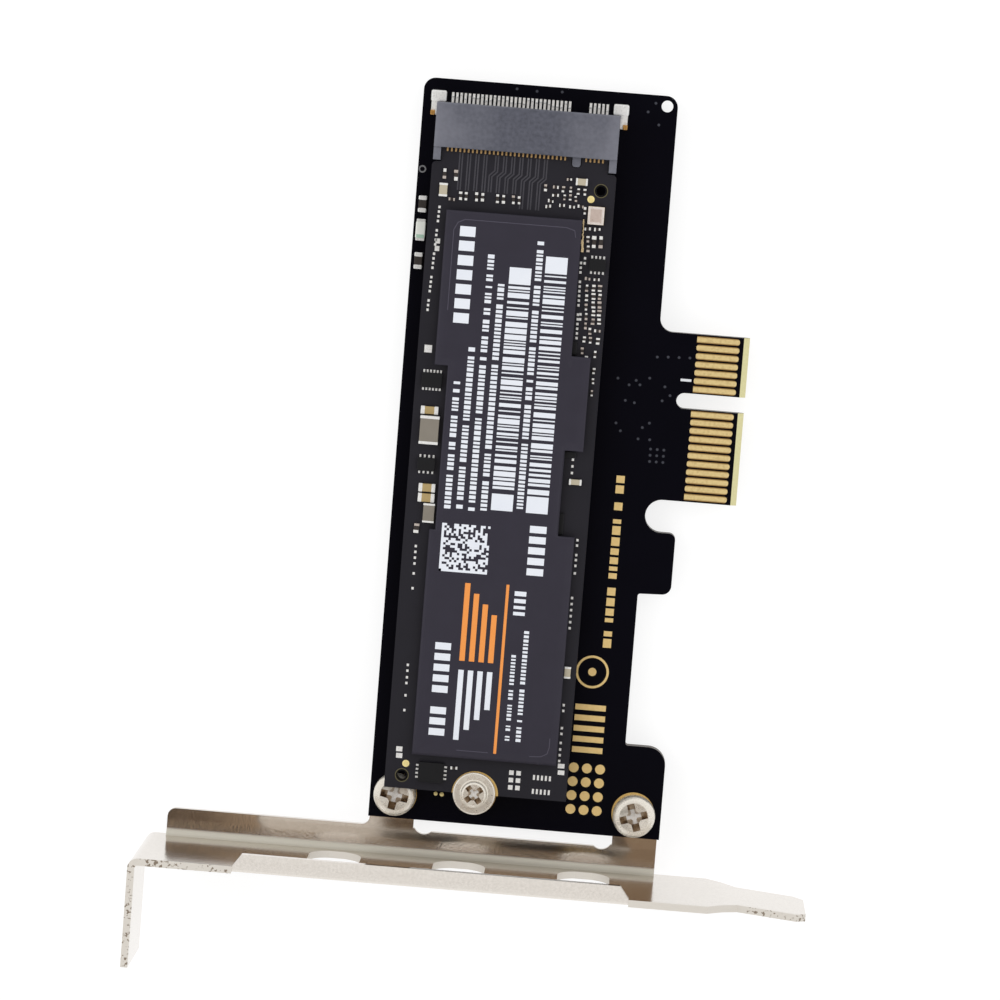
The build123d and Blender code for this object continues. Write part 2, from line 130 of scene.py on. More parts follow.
def add(tree, kind, inputs=(), output=0, to=None, **settings):
    """Adds a node with its settings and links, and gives one of its outputs.

    Inputs come by name or in order, as links, values or hex colours. The output may be linked on to a socket.
    """
    node = tree.nodes.new(kind)
    for name, value in settings.items():
        setattr(node, name, value)
    for name, value in inputs.items() if isinstance(inputs, dict) else enumerate(inputs):
        if isinstance(value, bpy.types.NodeSocket):
            tree.links.new(value, node.inputs[name])
        else:
            node.inputs[name].default_value = linear(value) if str(value).startswith("#") else value
    if to is not None:
        tree.links.new(node.outputs[output], to)
    return node.outputs[output] if node.outputs else None


def per_mm(size):
    """Scale of a texture whose features are about this many millimetres across."""
    return 1 / (size * MM)


def surface(name, colour, roughness, metallic=0.0, gloss=0.5):
    """New material: itself, its adder of nodes, its principled shader's inputs and Object coordinates."""
    material = bpy.data.materials.new(name)
    material.use_nodes = True
    tree = material.node_tree
    shader = tree.nodes["Principled BSDF"].inputs
    shader["Base Color"].default_value = linear(colour)
    shader["Roughness"].default_value = roughness
    shader["Metallic"].default_value = metallic
    shader["Specular IOR Level"].default_value = gloss
    put = partial(add, tree)
    return material, put, shader, put("ShaderNodeTexCoord", output="Object")


def solder_mask(name, dark, light, edge, bevel, roughness, gloss):
    """Glass-epoxy board under cured solder mask: smooth faces, fibrous sawn edges, pale milled bevels."""
    material, put, shader, place = surface(name, dark, roughness, 0.0, gloss)
    normal = put("ShaderNodeNewGeometry", output="Normal")
    upward = put(SPLIT, [normal], "Z")
    level = put(MATH, [upward], operation="ABSOLUTE")
    sloped = put(MATH, [level, 0.4], operation="GREATER_THAN")
    flat = put(MATH, [level, 0.97], operation="GREATER_THAN")
    fibre, cloud, weave = (
        put(NOISE, {"Vector": place, "Scale": per_mm(size), "Detail": 3.0}) for size in (0.25, 6.0, 0.35)
    )
    sawn = put(MIX, {0: fibre, MIX_A: edge, MIX_B: "#2a2118"}, **COLOURS)
    milled = put(MIX, {0: fibre, MIX_A: bevel, MIX_B: "#d3cb96"}, **COLOURS)
    faces = put(MIX, {0: cloud, MIX_A: dark, MIX_B: light}, **COLOURS)
    sides = put(MIX, {0: sloped, MIX_A: sawn, MIX_B: milled}, **COLOURS)
    put(MIX, {0: flat, MIX_A: sides, MIX_B: faces}, to=shader["Base Color"], **COLOURS)
    put(BUMP, {"Height": weave, "Strength": 0.12, "Distance": 0.02 * MM}, to=shader["Normal"])
    return material


def plated(name, colour, worn, roughness, metallic, size=0.3):
    """Plated or tinned metal: even sheen with small clouds, drawn coarser than the real ones to show."""
    material, put, shader, place = surface(name, colour, roughness, metallic)
    cloud = put(NOISE, {"Vector": place, "Scale": per_mm(size), "Detail": 3.0})
    put(MIX, {0: cloud, MIX_A: worn, MIX_B: colour}, to=shader["Base Color"], **COLOURS)
    limits = [cloud, 0.3, 0.7, roughness * 0.8, roughness * 1.25]
    put(RANGE, limits, to=shader["Roughness"])
    put(BUMP, {"Height": cloud, "Strength": 0.15, "Distance": 0.01 * MM}, to=shader["Normal"])
    return material


def finger_gold(name, middle, edge):
    """Hard gold on the plug's fingers: satin, paler down the middle of each finger as a painted highlight and
    browner along both sides as painted shade.
    """
    material, put, shader, place = surface(name, middle, 0.36, 0.35)
    # Painted highlight and shade across each finger: paler towards its middle, browner towards its sides
    along = put(SPLIT, [place], "Y")
    inward = put(MATH, [along, FINGER_PITCH / 2 * MM], operation="PINGPONG")
    side = (FINGER_PITCH - FINGER_W) / 2
    share = put(RANGE, [inward, (side + 0.04) * MM, (side + 0.18) * MM, 0.0, 0.95])
    cloud = put(NOISE, {"Vector": place, "Scale": per_mm(0.4), "Detail": 3.0})
    light = put(RANGE, [cloud, 0.3, 0.7, 0.8, 1.2])
    factor = put(MATH, [share, light], operation="MULTIPLY")
    put(MIX, {0: factor, MIX_A: edge, MIX_B: middle}, to=shader["Base Color"], **COLOURS)
    put(BUMP, {"Height": cloud, "Strength": 0.15, "Distance": 0.01 * MM}, to=shader["Normal"])
    return material


def contact_strip(name, flash, tail_tin):
    """Stamped contact strip: gold flash inside the socket, bright tin on the solder tails behind it."""
    material, put, shader, place = surface(name, flash, 0.32, 0.3)
    along = put(SPLIT, [place], "Y")
    tail = put(MATH, [along, (PLUG_Y + 1.0) * MM], operation="GREATER_THAN")
    put(MIX, {0: tail, MIX_A: flash, MIX_B: tail_tin}, to=shader["Base Color"], **COLOURS)
    grain = put(NOISE, {"Vector": place, "Scale": per_mm(0.2), "Detail": 3.0})
    put(BUMP, {"Height": grain, "Strength": 0.1, "Distance": 0.01 * MM}, to=shader["Normal"])
    return material


def moulded(name, colour, light, roughness, size=0.12, depth=0.012, gloss=0.5):
    """Moulded, fired or printed skin: satin, with an even grain drawn coarser than the real one to show."""
    material, put, shader, place = surface(name, colour, roughness, 0.0, gloss)
    cloud = put(NOISE, {"Vector": place, "Scale": per_mm(2.5), "Detail": 3.0})
    grain = put(NOISE, {"Vector": place, "Scale": per_mm(size), "Detail": 2.0})
    put(MIX, {0: cloud, MIX_A: colour, MIX_B: light}, to=shader["Base Color"], **COLOURS)
    put(BUMP, {"Height": grain, "Strength": 0.35, "Distance": depth * MM}, to=shader["Normal"])
    return material


def mottled_resin(name, dark, light, pale):
    """Glass-filled connector plastic: grey satin, mottled by the fibres, with a cloudy painted sheen that
    grows paler towards both ends.
    """
    material, put, shader, place = surface(name, dark, 0.38)
    fibre, sheen_cloud, grain = (
        put(NOISE, {"Vector": place, "Scale": per_mm(size), "Detail": detail})
        for size, detail in ((0.5, 4.0), (4.0, 3.0), (0.14, 2.0))
    )
    fleck = put(RANGE, [fibre, 0.35, 0.65])
    skin_tone = put(MIX, {0: fleck, MIX_A: dark, MIX_B: light}, **COLOURS)
    # Painted sheen: a cloudy paler tone that grows towards both ends of the socket
    along = put(SPLIT, [place], "X")
    offset = put(MATH, [along, DRIVE_X * MM], operation="SUBTRACT")
    reach = put(MATH, [offset], operation="ABSOLUTE")
    outer = put(RANGE, [reach, 3 * MM, 11 * MM, 0.1, 0.9])
    cloud = put(RANGE, [sheen_cloud, 0.35, 0.65, 0.5, 1.0])
    sheen_share = put(MATH, [outer, cloud], operation="MULTIPLY")
    put(MIX, {0: sheen_share, MIX_A: skin_tone, MIX_B: pale}, to=shader["Base Color"], **COLOURS)
    put(BUMP, {"Height": grain, "Strength": 0.4, "Distance": 0.014 * MM}, to=shader["Normal"])
    return material


def rolled_steel(name):
    """Nickel-plated sheet steel: a mirror, pebbled and worn matt in its fold, greyer and less metallic there
    as a painted highlight band, with torn cut edges.
    """
    material, put, shader, place = surface(name, "#dfd8d0", 0.12, 1.0)
    normal = put("ShaderNodeNewGeometry", output="Normal")
    way = put(SPLIT, [normal]).node.outputs
    where = put(SPLIT, [place]).node.outputs
    pebble, patch, tear, spot = (
        put(NOISE, {"Vector": place, "Scale": per_mm(size), "Detail": detail})
        for size, detail in ((0.3, 3.0), (7.0, 3.0), (0.36, 5.0), (2.6, 2.0))
    )
    plate = put(MIX, {0: pebble, MIX_A: "#d3ccc3", MIX_B: "#e8e2db"}, **COLOURS)

    # The cut edge that faces up, with torn pits away from its clean middle
    across = put(MATH, [way["Y"]], operation="ABSOLUTE")
    upright = put(MATH, [across, 0.05], operation="LESS_THAN")
    raised = put(MATH, [way["Z"], 0.15], operation="GREATER_THAN")
    outside = put(MATH, [where["Y"], PLATE_FACE * MM], operation="LESS_THAN")
    edge = put(MATH, [upright, raised], operation="MULTIPLY")
    cut = put(MATH, [edge, outside], operation="MULTIPLY")
    offset = put(MATH, [where["X"], CLEAN_EDGE_X * MM], operation="SUBTRACT")
    reach = put(MATH, [offset], operation="ABSOLUTE")
    far = put(MATH, [reach, CLEAN_EDGE_HALF * MM], operation="GREATER_THAN")
    limit = put(RANGE, [spot, 0.38, 0.62, 0.36, 0.48])
    pit = put(MATH, [tear, limit], operation="LESS_THAN")
    torn = put(MATH, [pit, far], operation="MULTIPLY")
    rim = put(MIX, {0: torn, MIX_A: "#ded8cf", MIX_B: "#8b7d6d"}, **COLOURS)
    sheet = put(MIX, {0: cut, MIX_A: plate, MIX_B: rim}, **COLOURS)

    # The fold, worn matt where the sheet leans; its greyer, less metallic colour there is a painted highlight
    # band along the bend
    lean = put(MATH, [way["Y"], way["Z"]], operation="MULTIPLY")
    worn = put(RANGE, [lean, 0.05, 0.3])
    put(MIX, {0: worn, MIX_A: sheet, MIX_B: "#cdc8bb"}, to=shader["Base Color"], **COLOURS)

    # Pebbles that rise towards the fold, and the roughness and bare metal that go with all of these
    nearer = put(RANGE, [where["Y"], FOLD_FAR * MM, FOLD_NEAR * MM, 0.0, 1.0])
    level = put(MATH, [way["Z"], 0.0], operation="MAXIMUM")
    drawn = put(MATH, [nearer, level], operation="MULTIPLY")
    rough = put(MATH, [drawn, 0.12], operation="MULTIPLY")
    matt = put(MATH, [worn, 0.35, rough], operation="MULTIPLY_ADD")
    dull = put(MATH, [cut, 0.45, matt], operation="MULTIPLY_ADD")
    sheen = put(RANGE, [patch, 0.3, 0.7, 0.11, 0.15])
    smooth = put(MATH, [level, -0.035, sheen], operation="MULTIPLY_ADD")
    put(MATH, [dull, smooth], to=shader["Roughness"])
    bare = put(MATH, [worn, -0.7, 1.0], operation="MULTIPLY_ADD")
    put(MATH, [cut, -0.7, bare], to=shader["Metallic"], operation="MULTIPLY_ADD")
    depth = put(MATH, [drawn, 0.97, 0.03], operation="MULTIPLY_ADD")
    put(BUMP, {"Height": pebble, "Strength": depth, "Distance": 0.035 * MM}, to=shader["Normal"])
    return material


# Boards: a near black card and a charcoal drive, with tracks and vias that show through the mask
card_mask = solder_mask("black_solder_mask", "#05050c", "#080811", "#4a3a26", "#e6e1b2", 0.3, 0.06)
drive_mask = solder_mask("charcoal_solder_mask", "#1e1d23", "#27262d", "#3a3224", "#3a3224", 0.4, 0.22)
trace_mask = moulded("mask_over_copper", "#3a393f", "#45444b", 0.4, 0.2, 0.004, 0.35)
via_mask = moulded("mask_over_vias", "#2c2e38", "#3a3c46", 0.45, 0.2, 0.004)
# Flat black for rings round the drive's tooling holes: painted shadow that widens the dark of the holes
hole_shadow_black = moulded("black_painted_hole_shadow", "#060607", "#0a0a0c", 0.6, 0.1, 0.012, 0.1)

# Gold: warm satin on pads and fingers, paler on dots as a painted highlight, browner where it is thin, and
# dim olive on the rims round the tooling holes
gold = plated("gold_over_nickel", "#e8c67e", "#dcb56a", 0.36, 0.35)
plug_gold = finger_gold("hard_plug_gold", "#f0d698", "#8f6a33")
copper_gold = plated("bare_gold_print", "#f2d392", "#e2c17c", 0.4, 0.25)
# The dots' pale colour is a painted highlight on their domes
dot_gold_highlight = plated("gold_dot_with_painted_highlight", "#f9e7a4", "#efd98e", 0.3, 0.15)
rim_gold = plated("dim_olive_gold_rim", "#6c6648", "#555039", 0.4, 0.3)
pale_gold = plated("pale_gold_edge", "#f3ddb0", "#d6b98a", 0.4, 0.2, 0.2)
spring_gold = plated("gold_flashed_spring", "#cf9d56", "#b07f3c", 0.35, 0.4, 0.2)
spring_strip = contact_strip("plated_contact_strip", "#b89665", "#f7f6f3")

# Solder: silvery white where it flowed well, grey where it set dull
tin = plated("bright_solder_tin", "#f7f6f3", "#dddcda", 0.3, 0.12, 0.2)
dull_tin = plated("dull_solder_tin", "#d3c8c0", "#a99d95", 0.45, 0.2, 0.2)
dull_solder = plated("dull_solder_ring", "#8d8d8f", "#6a6a6c", 0.5, 0.2)

# Other metals: creamy nickel, darker and browner in the arms of a recess as painted shade and near white at
# its point as a painted highlight, and brass
nickel = plated("nickel_plated_screw", "#f1ece2", "#e2dacd", 0.28, 0.6, 0.6)
recess_shade_nickel = plated("nickel_with_painted_recess_shade", "#cbb9a3", "#93816b", 0.22, 1.0, 0.7)
point_highlight_nickel = plated("nickel_with_painted_point_highlight", "#fffefc", "#f3eee8", 0.28, 0.05, 0.3)
can_lid = plated("resonator_can_lid", "#dccbc1", "#c9b6ab", 0.34, 0.35, 0.3)
can_rim = plated("resonator_weld_rim", "#f6efe9", "#e6dad2", 0.3, 0.3, 0.3)
brass = plated("turned_brass", "#c8a866", "#a88a50", 0.3, 1.0)
steel = rolled_steel("nickel_plated_steel")

# Resins, film and inks: matt and dark, with print that is flat and even
# The socket's paler ends are a painted sheen
socket_resin = mottled_resin("glass_filled_socket_resin", "#474954", "#575965", "#7b7c86")
package_resin = moulded("moulded_epoxy_package", "#101012", "#161619", 0.5, 0.1, 0.012, 0.25)
film = moulded("matt_label_film", "#2b2833", "#302d39", 0.5, 0.2, 0.006, 0.3)
# Paler film for the creases: a painted highlight along their ridges
crease_highlight_film = moulded("label_film_painted_crease_highlight", "#474451", "#514e5b", 0.5, 0.2, 0.006, 0.3)
white_ink = moulded("white_label_ink", "#e4e8f1", "#eef1f7", 0.55, 0.2, 0.004, 0.3)
orange_ink = moulded("orange_label_ink", "#ef9445", "#f6a053", 0.55, 0.2, 0.004, 0.3)
silk_ink = moulded("white_silk_screen", "#d8dade", "#e8eaee", 0.6, 0.15, 0.006)
lamp_resin = moulded("clear_white_lamp_resin", "#f1f3e9", "#f8f9f3", 0.25, 0.2, 0.004)
lamp_green = moulded("green_lamp_die", "#a9cdb6", "#c0dcc8", 0.3, 0.2, 0.004)

# Fired parts: stony satin in tan, beige, brown and grey
ceramic = moulded("fired_tan_ceramic", "#a68f5e", "#b89f6c", 0.4, 0.1)
pale_ceramic = moulded("fired_beige_ceramic", "#b5ab94", "#c3b9a2", 0.4, 0.1)
dark_ceramic = moulded("fired_brown_ceramic", "#2b2523", "#3a3330", 0.4, 0.1)
ferrite = moulded("pressed_ferrite", "#7d766b", "#8a8378", 0.45, 0.15)


def paint(finish, *names):
    """Gives CAD nodes their finish."""
    for name in names:
        nodes[name].data.materials.clear()
        nodes[name].data.materials.append(finish)


paint(card_mask, "adapter_board")
paint(gold, "ground_pads", "drive_end_ring", "drive_fingers_top", "drive_fingers_bottom")
paint(socket_resin, "m2_socket_housing")
paint(tin, "m2_hold_downs", "m2_lower_contacts")
paint(spring_strip, "m2_upper_contacts")
paint(brass, "standoff")
paint(steel, "bracket")
paint(drive_mask, "drive_board")
paint(package_resin, "controller_chip", "buffer_chip", "memory_chips")


def seat(piece, slot, replaces=()):
    """Puts a finished piece on the card and hides the nodes that it stands for; its slot is not used."""
    if not piece.users_collection:
        scene.collection.objects.link(piece)
    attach(piece, "root")
    if replaces:
        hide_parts(*replaces)
    return piece


def formed(name, fill, *finishes):
    """Object whose mesh is filled in millimetres by fill(bm)."""
    bm = bmesh.new()
    fill(bm)
    bmesh.ops.recalc_face_normals(bm, faces=bm.faces)
    bmesh.ops.scale(bm, vec=(MM, MM, MM), verts=bm.verts)
    mesh = bpy.data.meshes.new(name)
    bm.to_mesh(mesh)
    bm.free()
    for finish in finishes:
        mesh.materials.append(finish)
    return bpy.data.objects.new(name, mesh)


def shape(name, finish, slot, fill, replaces=()):
    """Piece of one finish, formed by fill(bm) and seated on the card."""
    return seat(formed(name, fill, finish), slot, replaces)


def settle(piece):
    """Turns what the piece's modifiers make into its plain mesh."""
    bpy.context.view_layer.update()
    made = piece.evaluated_get(bpy.context.evaluated_depsgraph_get())
    piece.data = bpy.data.meshes.new_from_object(made)
    piece.modifiers.clear()


def block(bm, x0, x1, y0, y1, z0, z1, ease=0.0):
    """Box between these limits, its edges rounded by ease."""
    size = Matrix.Diagonal((x1 - x0, y1 - y0, z1 - z0, 1))
    middle = Matrix.Translation(((x0 + x1) / 2, (y0 + y1) / 2, (z0 + z1) / 2))
    corners = bmesh.ops.create_cube(bm, size=1.0, matrix=middle @ size)["verts"]
    if ease:
        edges = list({e for v in corners for e in v.link_edges})
        bmesh.ops.bevel(bm, geom=edges, offset=ease, segments=2, profile=0.5, affect="EDGES")


def rounded_blocks(name, finish, slot, boxes, replaces=()):
    """Piece made of boxes, each given by its six limits and the rounding of its edges."""
    def fill(bm):
        for box in boxes:
            block(bm, *box)
    return shape(name, finish, slot, fill, replaces)


def skin(bm, low, high):
    """Faces between two closed rows of corners; a row of one corner is a pole."""
    faces = []
    count = max(len(low), len(high))
    for k in range(count):
        n = (k + 1) % count
        loop = [low[k % len(low)], low[n % len(low)], high[n % len(high)], high[k % len(high)]]
        faces.append(bm.faces.new(list(dict.fromkeys(loop))))
    return faces


def lathe(bm, profile, x, y, sides=48, closed=False):
    """Turned form about the upright through (x, y); a point on the axis becomes a pole."""
    rows = []
    for r, z in profile:
        turns = sides if r > 1e-6 else 1
        angles = [2 * math.pi * k / sides for k in range(turns)]
        rows.append([bm.verts.new((x + r * math.cos(a), y + r * math.sin(a), z)) for a in angles])
    if closed:
        rows.append(rows[0])
    for low, high in zip(rows, rows[1:]):
        skin(bm, low, high)


def ring(bm, x, y, z0, z1, outer, inner, sides=40):
    """Flat ring."""
    lathe(bm, [(inner, z0), (outer, z0), (outer, z1), (inner, z1)], x, y, sides, closed=True)


def dot(bm, x, y, z0, z1, r, sides=24):
    """Flat round pad."""
    lathe(bm, [(0, z0), (r, z0), (r, z1), (0, z1)], x, y, sides)


def strip(bm, points, width, z0, z1):
    """Flat track of this width along a line of points, with mitred corners."""
    points = [Vector(p) for p in points]
    rows = []
    for i, here in enumerate(points):
        near = points[max(i - 1, 0):i + 2]
        ways = [(b - a).normalized() for a, b in zip(near, near[1:])]
        way = sum(ways, Vector((0, 0))).normalized()
        across = Vector((-way.y, way.x)) * (width / 2 / way.dot(ways[0]))
        left, right = here + across, here - across
        corners = ((left, z0), (right, z0), (right, z1), (left, z1))
        rows.append([bm.verts.new((p.x, p.y, z)) for p, z in corners])
    for a, b in zip(rows, rows[1:]):
        skin(bm, a, b)
    bm.faces.new(rows[0])
    bm.faces.new(rows[-1])


def spots_tree(name, kind, sizes, shape_inputs):
    """Node tree with one form on every vertex, stretched by that vertex's own factors."""
    tree = bpy.data.node_groups.new(name, "GeometryNodeTree")
    for socket, holds in {"Spots": "Geometry", **sizes, "Finish": "Material"}.items():
        tree.interface.new_socket(socket, in_out="INPUT", socket_type=f"NodeSocket{holds}")
    tree.interface.new_socket("Pieces", in_out="OUTPUT", socket_type="NodeSocketGeometry")
    given = add(tree, "NodeGroupInput").node.outputs
    form = add(tree, kind, {socket: given[size] for socket, size in shape_inputs.items()})
    stretch = add(tree, "GeometryNodeInputNamedAttribute", {"Name": "stretch"}, data_type="FLOAT_VECTOR")
    inputs = {"Points": given["Spots"], "Instance": form, "Scale": stretch}
    placed = add(tree, "GeometryNodeInstanceOnPoints", inputs)
    real = add(tree, "GeometryNodeRealizeInstances", {"Geometry": placed})
    painted = add(tree, "GeometryNodeSetMaterial", {"Geometry": real, "Material": given["Finish"]})
    add(tree, "NodeGroupOutput", {"Pieces": painted})
    return tree


blocks_tree = spots_tree(
    "blocks_at_spots", "GeometryNodeMeshCube", {"Block size": "Vector"}, {"Size": "Block size"}
)
discs_tree = spots_tree(
    "discs_at_spots",
    "GeometryNodeMeshCylinder",
    {"Disc sides": "Int", "Disc radius": "Float", "Disc height": "Float"},
    {"Vertices": "Disc sides", "Radius": "Disc radius", "Depth": "Disc height"},
)


def grow(name, tree, spots, finish, slot, replaces=(), **sizes):
    """Piece that a node tree makes on (x, y, z, stretch) spots, turned into a plain mesh."""
    mesh = bpy.data.meshes.new(name)
    mesh.from_pydata([Vector(s[:3]) * MM for s in spots], [], [])
    stretch = mesh.attributes.new("stretch", "FLOAT_VECTOR", "POINT")
    stretch.data.foreach_set("vector", [f for s in spots for f in s[3]])
    piece = bpy.data.objects.new(name, mesh)
    scene.collection.objects.link(piece)
    modifier = piece.modifiers.new("spots", "NODES")
    modifier.node_group = tree
    values = {key.replace("_", " "): value for key, value in sizes.items()}
    values["Finish"] = finish
    for socket in tree.interface.items_tree:
        if socket.in_out == "INPUT" and socket.name in values:
            modifier[socket.identifier] = values[socket.name]
    settle(piece)
    return seat(piece, slot, replaces)


def blocks(name, spots, finish, slot, replaces=()):
    """Blocks of their own width, length and height at (x, y, z of the middle, sizes) spots."""
    return grow(name, blocks_tree, spots, finish, slot, replaces, Block_size=(MM, MM, MM))


def discs(name, spots, finish, slot, radius, height, sides=12):
    """Equal discs at (x, y, z) spots."""
    spots = [(*s, (1, 1, 1)) for s in spots]
    sizes = {"Disc_sides": sides, "Disc_radius": radius * MM, "Disc_height": height * MM}
    return grow(name, discs_tree, spots, finish, slot, **sizes)


def at_drive(x, y):
    """Card place of a point given from the drive's centre line and from its plug edge."""
    return DRIVE_X + x, PLUG_Y - y


def pad_spot(place, w, l, h, level):
    """Spot of a pad that lies on a level, at a card place."""
    return *place, level + h / 2, (w, l, h)


# Screws

def cross_outline(reach, half, ease):
    """Corners of a plus sign with arms of this reach and half width, eased where the arms meet."""
    corner = [(reach, -half), (reach, half), (half + ease, half), (half, half + ease)]
    quarters = ((1, 0), (0, 1), (-1, 0), (0, -1))
    return [(a * c - b * s, a * s + b * c) for c, s in quarters for a, b in corner]


def cross_cutter(x, y, cross):
    """Cutter for a cross recess: steep arms with painted shade that run down to a pointed centre with a
    painted highlight.
    """
    width, span, depth, top, angle = cross
    place = Matrix.Translation((x, y, 0)) @ Matrix.Rotation(math.radians(angle), 4, "Z")

    def fill(bm):
        rows = []
        for level, share in ((-depth, 0.5), (0.0, 1.0), (0.4, 1.0)):
            corners = cross_outline(span / 2 * share, width / 2 * share, 0.3 * width * share)
            rows.append([bm.verts.new(place @ Vector((a, b, top + level))) for a, b in corners])
        for low, high in zip(rows, rows[1:]):
            skin(bm, low, high)
        bm.faces.new(rows[-1])
        point = bm.verts.new(place @ Vector((0, 0, top - 1.25 * depth)))
        # The point's faces take the second finish, a near white painted highlight
        for face in skin(bm, rows[0], [point]):
            face.material_index = 1

    cutter = formed("cross_cutter", fill, recess_shade_nickel, point_highlight_nickel)
    scene.collection.objects.link(cutter)
    return cutter


def turned(name, profile, x, y, cross, replaces=()):
    """Turned screw with a cross recess cut into its head."""
    piece = shape(name, nickel, "screw_nickel", lambda bm: lathe(bm, profile, x, y, 64), replaces)
    cutter = cross_cutter(x, y, cross)
    cut = piece.modifiers.new("recess", "BOOLEAN")
    cut.operation = "DIFFERENCE"
    cut.solver = "EXACT"
    # The recess keeps the cutter's finishes: painted shade in its arms and a painted highlight at its point
    cut.material_mode = "TRANSFER"
    cut.object = cutter
    settle(piece)
    bpy.data.objects.remove(cutter)


def thread(low, high, r, pitch):
    """Outline of a threaded shank from its tip upwards, as shallow rings."""
    tip = 0.3
    groove = 0.14
    points = [(0, low), (r - tip, low), (r, low + tip)]
    z = low + tip
    while z + pitch < high:
        points += [(r - groove, z + pitch / 2), (r, z + pitch)]
        z += pitch
    return points


def pan_head(seat_z, top_z, r):
    """Outline of a low pan head, from its seat to its crown."""
    high = top_z - seat_z
    points = [(1.4, seat_z), (r - 0.05, seat_z), (r, seat_z + 0.06), (r, seat_z + 0.45 * high)]
    shoulder = 0.42 * r
    for step in range(1, 7):
        a = math.radians(15 * step)
        points.append((r - shoulder * (1 - math.cos(a)), seat_z + high * (0.45 + 0.49 * math.sin(a))))
    return points + [(0.3 * r, seat_z + 0.985 * high), (0, top_z)]


def flange_head(seat_z, crown, r):
    """Outline of the drive screw's thin flange and low raised head."""
    low_r = 0.61 * r
    deck = seat_z + 0.42
    points = [(1.2, seat_z), (r - 0.06, seat_z), (r, seat_z + 0.08)]
    points += [(r, deck - 0.16), (r - 0.05, deck - 0.06), (r - 0.18, deck)]
    points += [(low_r + 0.16, deck - 0.02), (low_r + 0.04, deck + 0.04), (low_r, deck + 0.14)]
    points += [(low_r, crown - 0.3), (low_r - 0.1, crown - 0.12), (low_r - 0.3, crown - 0.02), (0, crown)]
    return points


screws_low, screws_high = box_mm("bracket_screws")
HEAD_R = (screws_high.y - screws_low.y) / 2
SCREW_Y = (screws_high.y + screws_low.y) / 2
SCREW_XS = (screws_low.x + HEAD_R, screws_high.x - HEAD_R)
SCREW_PLAYS = ((-0.04, 0.04), (0.12, -0.2))
SCREW_TURNS = (80, 18)

# A cross recess is given by its arms' width, span and depth, the level of its top and its turn
for count, (x, play, turn) in enumerate(zip(SCREW_XS, SCREW_PLAYS, SCREW_TURNS)):
    shank = thread(screws_low.z, HEAD_SEAT, r=1.5, pitch=0.5)
    head = pan_head(HEAD_SEAT, screws_high.z, 1.012 * HEAD_R)
    cross = (0.95, 3.6, 1.1, screws_high.z, turn)
    stands_for = ("bracket_screws",) if count == 0 else ()
    turned(f"pan_screw_{count + 1}", shank + head, x + play[0], SCREW_Y + play[1], cross, stands_for)

flange_low, flange_high = box_mm("drive_screw")
FLANGE_SEAT = DRIVE_TOP + 0.04
FLANGE_R = 1.01 * (flange_high.x - flange_low.x) / 2
shank = thread(flange_low.z, FLANGE_SEAT, r=1.25, pitch=0.45)
head = flange_head(FLANGE_SEAT, flange_high.z, FLANGE_R)
cross = (0.7, 2.5, 0.7, flange_high.z, 40)
turned("drive_flange_screw", shank + head, DRIVE_X - 0.1, DRIVE_END + 0.12, cross, ("drive_screw",))


# Label film with its printed fields: its sides step in and out along the drive

LABEL_START = 10.1
LABEL_END = 75.6
LABEL_LEFT = [(LABEL_START, -8.8), (28.6, -7.2), (48.3, -7.9)]
LABEL_RIGHT = [(LABEL_START, 7.4), (26.3, 9.7), (37.6, 7.5), (47.9, 9.5)]
LABEL_MIN_X = -8.8
LABEL_W = 18.5
FILM_CELL = 0.3
FILM_DEPTH = 0.08
TURN_DOWN = 0.14
SKIRT = 0.95


def label_side(steps, y):
    """Label edge at this distance from the plug edge."""
    return [x for start, x in steps if start <= y][-1]


def on_label(x, y):
    """Whether a point on the drive lies under the label."""
    return LABEL_START < y < LABEL_END and label_side(LABEL_LEFT, y) < x < label_side(LABEL_RIGHT, y)


def label_film(bm):
    """Film that lies flat on the packages and turns down along its own edge."""
    xs = {x for _, x in LABEL_LEFT + LABEL_RIGHT}
    xs |= {LABEL_MIN_X + FILM_CELL * i for i in range(1, int(LABEL_W / FILM_CELL))}
    ys = {y for y, _ in LABEL_LEFT + LABEL_RIGHT} | {LABEL_END}
    ys |= {LABEL_START + FILM_CELL * i for i in range(1, int((LABEL_END - LABEL_START) / FILM_CELL))}
    xs = sorted(xs)
    ys = sorted(ys)
    corners = {}

    def edge_gap(x, y):
        reach = SKIRT
        for k in range(16):
            a = math.pi * k / 8
            for step in (0.1, 0.3, 0.5, 0.7, 0.9):
                if step < reach and not on_label(x + step * math.cos(a), y + step * math.sin(a)):
                    reach = step
        return reach

    def corner(x, y):
        if (x, y) not in corners:
            drop = TURN_DOWN * (1 - edge_gap(x, y) / SKIRT)
            corners[x, y] = bm.verts.new((*at_drive(x, y), LABEL_TOP - drop))
        return corners[x, y]

    for x0, x1 in zip(xs, xs[1:]):
        for y0, y1 in zip(ys, ys[1:]):
            if on_label((x0 + x1) / 2, (y0 + y1) / 2):
                bm.faces.new((corner(x0, y0), corner(x0, y1), corner(x1, y1), corner(x1, y0)))


label = shape("label_sheet", film, "label_film", label_film, ("drive_label",))
for polygon in label.data.polygons:
    polygon.use_smooth = True
wall = label.modifiers.new("film", "SOLIDIFY")
wall.thickness = FILM_DEPTH * MM
wall.offset = -1
settle(label)


def printed(x0, x1, y0, y1):
    """Ink field between these places on the label."""
    place = at_drive((x0 + x1) / 2, (y0 + y1) / 2)
    return pad_spot(place, abs(x1 - x0), abs(y1 - y0), INK, LABEL_TOP)


def dashes(rng, x, y0, y1, height, longest, gap):
    """Line of blank dashes along the label."""
    fields = []
    y = y0
    while y < y1 - 0.2:
        length = min(rng.uniform(0.45, 1.0) * longest, y1 - y)
        fields.append(printed(x, x + height, y, y + length))
        y += length + gap
        if rng.random() < 0.16:
            y += 2.5 * gap
    return fields


